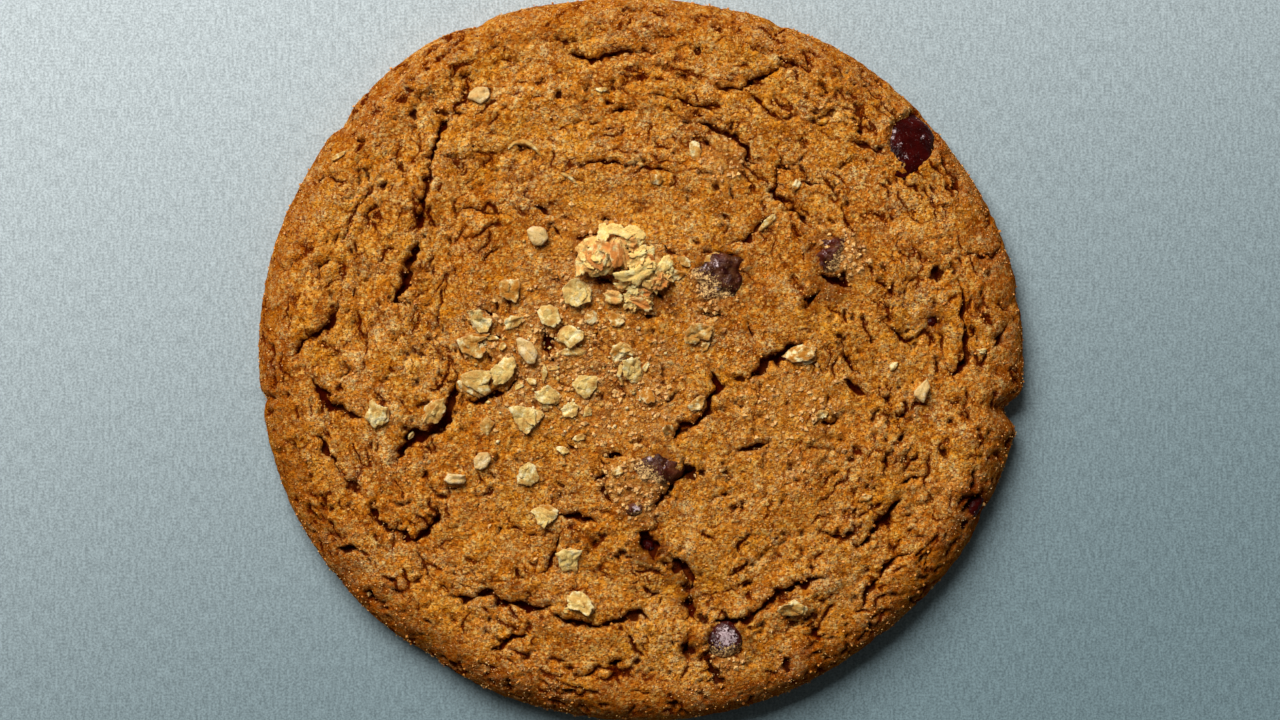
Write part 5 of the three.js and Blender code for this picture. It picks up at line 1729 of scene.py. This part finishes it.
# The light: where the window is and its size (mm), its power (W), and the colours of all that glows
WINDOW_AT = (-600, 1220, 1360)
WINDOW_SIZE = 1300
WINDOW_POWER = 58.0
WINDOW_COLOUR = (1.0, 0.97, 0.92)
ROOM_COLOUR = (1.0, 0.95, 0.88, 1.0)
ROOM_STRENGTH = 0.08
BACKDROP_COLOUR = (*srgb(186, 197, 201), 1.0)

# The floor: its half width, the way to its paler side of painted light, where it grows paler, and where that
# fades out (mm)
FLOOR_HALF = 1700.0
FLOOR_PALER_WAY = (-0.34, 1.0, 0.0)
FLOOR_PALER_FROM = -110
FLOOR_PALER_TO = 110
FLOOR_FADES_FROM = 130
FLOOR_FADES_TO = 620
FLOOR_FAR_TONE = 0.42          # 0 is as dark as its dark side, 1 as pale as its pale side


def make_camera():
    """Straight above, with the cookie's edges as far out as in the frame."""
    camera = bpy.data.objects.new("camera", bpy.data.cameras.new("camera"))
    camera.data.lens = VIEW_LENS
    camera.data.sensor_width = SENSOR_WIDTH
    distance = VIEW_WIDTH * VIEW_LENS / SENSOR_WIDTH
    camera.location = (0, 0, (distance + WIDEST_HEIGHT) * MM)
    camera.data.clip_start = 0.01
    camera.data.clip_end = 40
    bpy.context.scene.collection.objects.link(camera)
    bpy.context.scene.camera = camera


def make_floor():
    """A pale floor, finely woven, with painted light: near the cookie paler towards the window, farther off
    of one tone.
    """
    n = Nodes("floor")
    ribs = n.noise(0.5, 1, stretch=(1, 0.25, 1))
    weave = n.math("ADD", n.math("MULTIPLY", n.noise(0.32, 2), 0.7), n.math("MULTIPLY", ribs, 0.3))
    # Painted light: paler towards the window near the cookie, fading to one tone farther off
    towards = n.along(FLOOR_PALER_WAY)
    painted_light_near = n.math("POWER", n.span(towards, FLOOR_PALER_FROM, FLOOR_PALER_TO, eased=True), 1.5)
    far = n.span(n.math("ABSOLUTE", towards), FLOOR_FADES_FROM, FLOOR_FADES_TO, eased=True)
    near_part = n.math("MULTIPLY", painted_light_near, n.math("SUBTRACT", 1.0, far))
    tone = n.math("ADD", near_part, n.math("MULTIPLY", far, FLOOR_FAR_TONE))
    hollow = n.mix(tone, srgb(92, 112, 120), srgb(172, 183, 189))
    thread = n.mix(tone, srgb(124, 149, 158), srgb(218, 231, 238))
    n.feed(n.shader.inputs["Base Color"], n.mix(n.span(weave, 0.36, 0.64), hollow, thread))
    n.shader.inputs["Roughness"].default_value = 0.6
    n.shader.inputs["Specular IOR Level"].default_value = 0.1
    corners = [(x * FLOOR_HALF, y * FLOOR_HALF, 0) for x, y in ((-1, -1), (1, -1), (1, 1), (-1, 1))]
    floor = new_object("floor", corners, [(0, 1, 2, 3)], n.material)


def area_light(name, place, size, power, colour):
    """A soft light at a place in millimetres, turned to the cookie's middle."""
    light = bpy.data.objects.new(name, bpy.data.lights.new(name, "AREA"))
    light.data.size = size * MM
    light.data.energy = power
    light.data.color = colour
    light.location = Vector(place) * MM
    light.rotation_euler = (-light.location).to_track_quat("-Z", "Y").to_euler()
    bpy.context.scene.collection.objects.link(light)


def make_lights():
    """A soft window light from behind and a little left, a faint even one from all round, and a pale backdrop
    that only shows and lights nothing."""
    area_light("window", WINDOW_AT, WINDOW_SIZE, WINDOW_POWER, WINDOW_COLOUR)
    world = bpy.data.worlds.new("room")
    world.use_nodes = True
    tree = world.node_tree
    glow = tree.nodes["Background"]
    glow.inputs["Color"].default_value = ROOM_COLOUR
    glow.inputs["Strength"].default_value = ROOM_STRENGTH
    backdrop = tree.nodes.new("ShaderNodeBackground")
    backdrop.inputs["Color"].default_value = BACKDROP_COLOUR
    either = tree.nodes.new("ShaderNodeMixShader")
    tree.links.new(tree.nodes.new("ShaderNodeLightPath").outputs["Is Camera Ray"], either.inputs[0])
    tree.links.new(glow.outputs[0], either.inputs[1])
    tree.links.new(backdrop.outputs[0], either.inputs[2])
    tree.links.new(either.outputs[0], tree.nodes["World Output"].inputs["Surface"])
    bpy.context.scene.world = world
    bpy.context.scene.view_settings.view_transform = "Standard"


make_camera()
make_floor()
make_lights()
dough, baked = make_dough()
ground = Ground(dough)
make_chips(ground)
make_clump(ground)
make_oat_flakes(ground)
make_kernels(ground)
crumbs = grain_material("crumbs", srgb(176, 92, 8), srgb(238, 160, 60), roughness=0.5,
                        pale=srgb(248, 190, 110))
make_grains("dough_crumbs", ground, baked, count=2200, sizes=(0.3, 0.7), sink=0.05, seed=66, material=crumbs,
            keep_cracks=0.5, patchy=0.3)
sugar = grain_material("sugar", srgb(206, 116, 16), srgb(252, 204, 122), roughness=0.22,
                       pale=srgb(255, 222, 164))
make_grains("sugar_grains", ground, baked, count=9000, sizes=(0.16, 0.36), sink=0.0, seed=77, material=sugar,
            keep_cracks=0.15, patchy=0.85)
chip_crumb = grain_material("chip_crumb", srgb(170, 106, 36), srgb(236, 188, 112), roughness=0.6,
                            pale=srgb(244, 208, 150))
make_grains("chip_crumbs", ground, baked, count=1000, sizes=(0.4, 1.3), sink=0.0, seed=88,
            material=chip_crumb, keep_cracks=0.6, patchy=1.0, where="crumby")
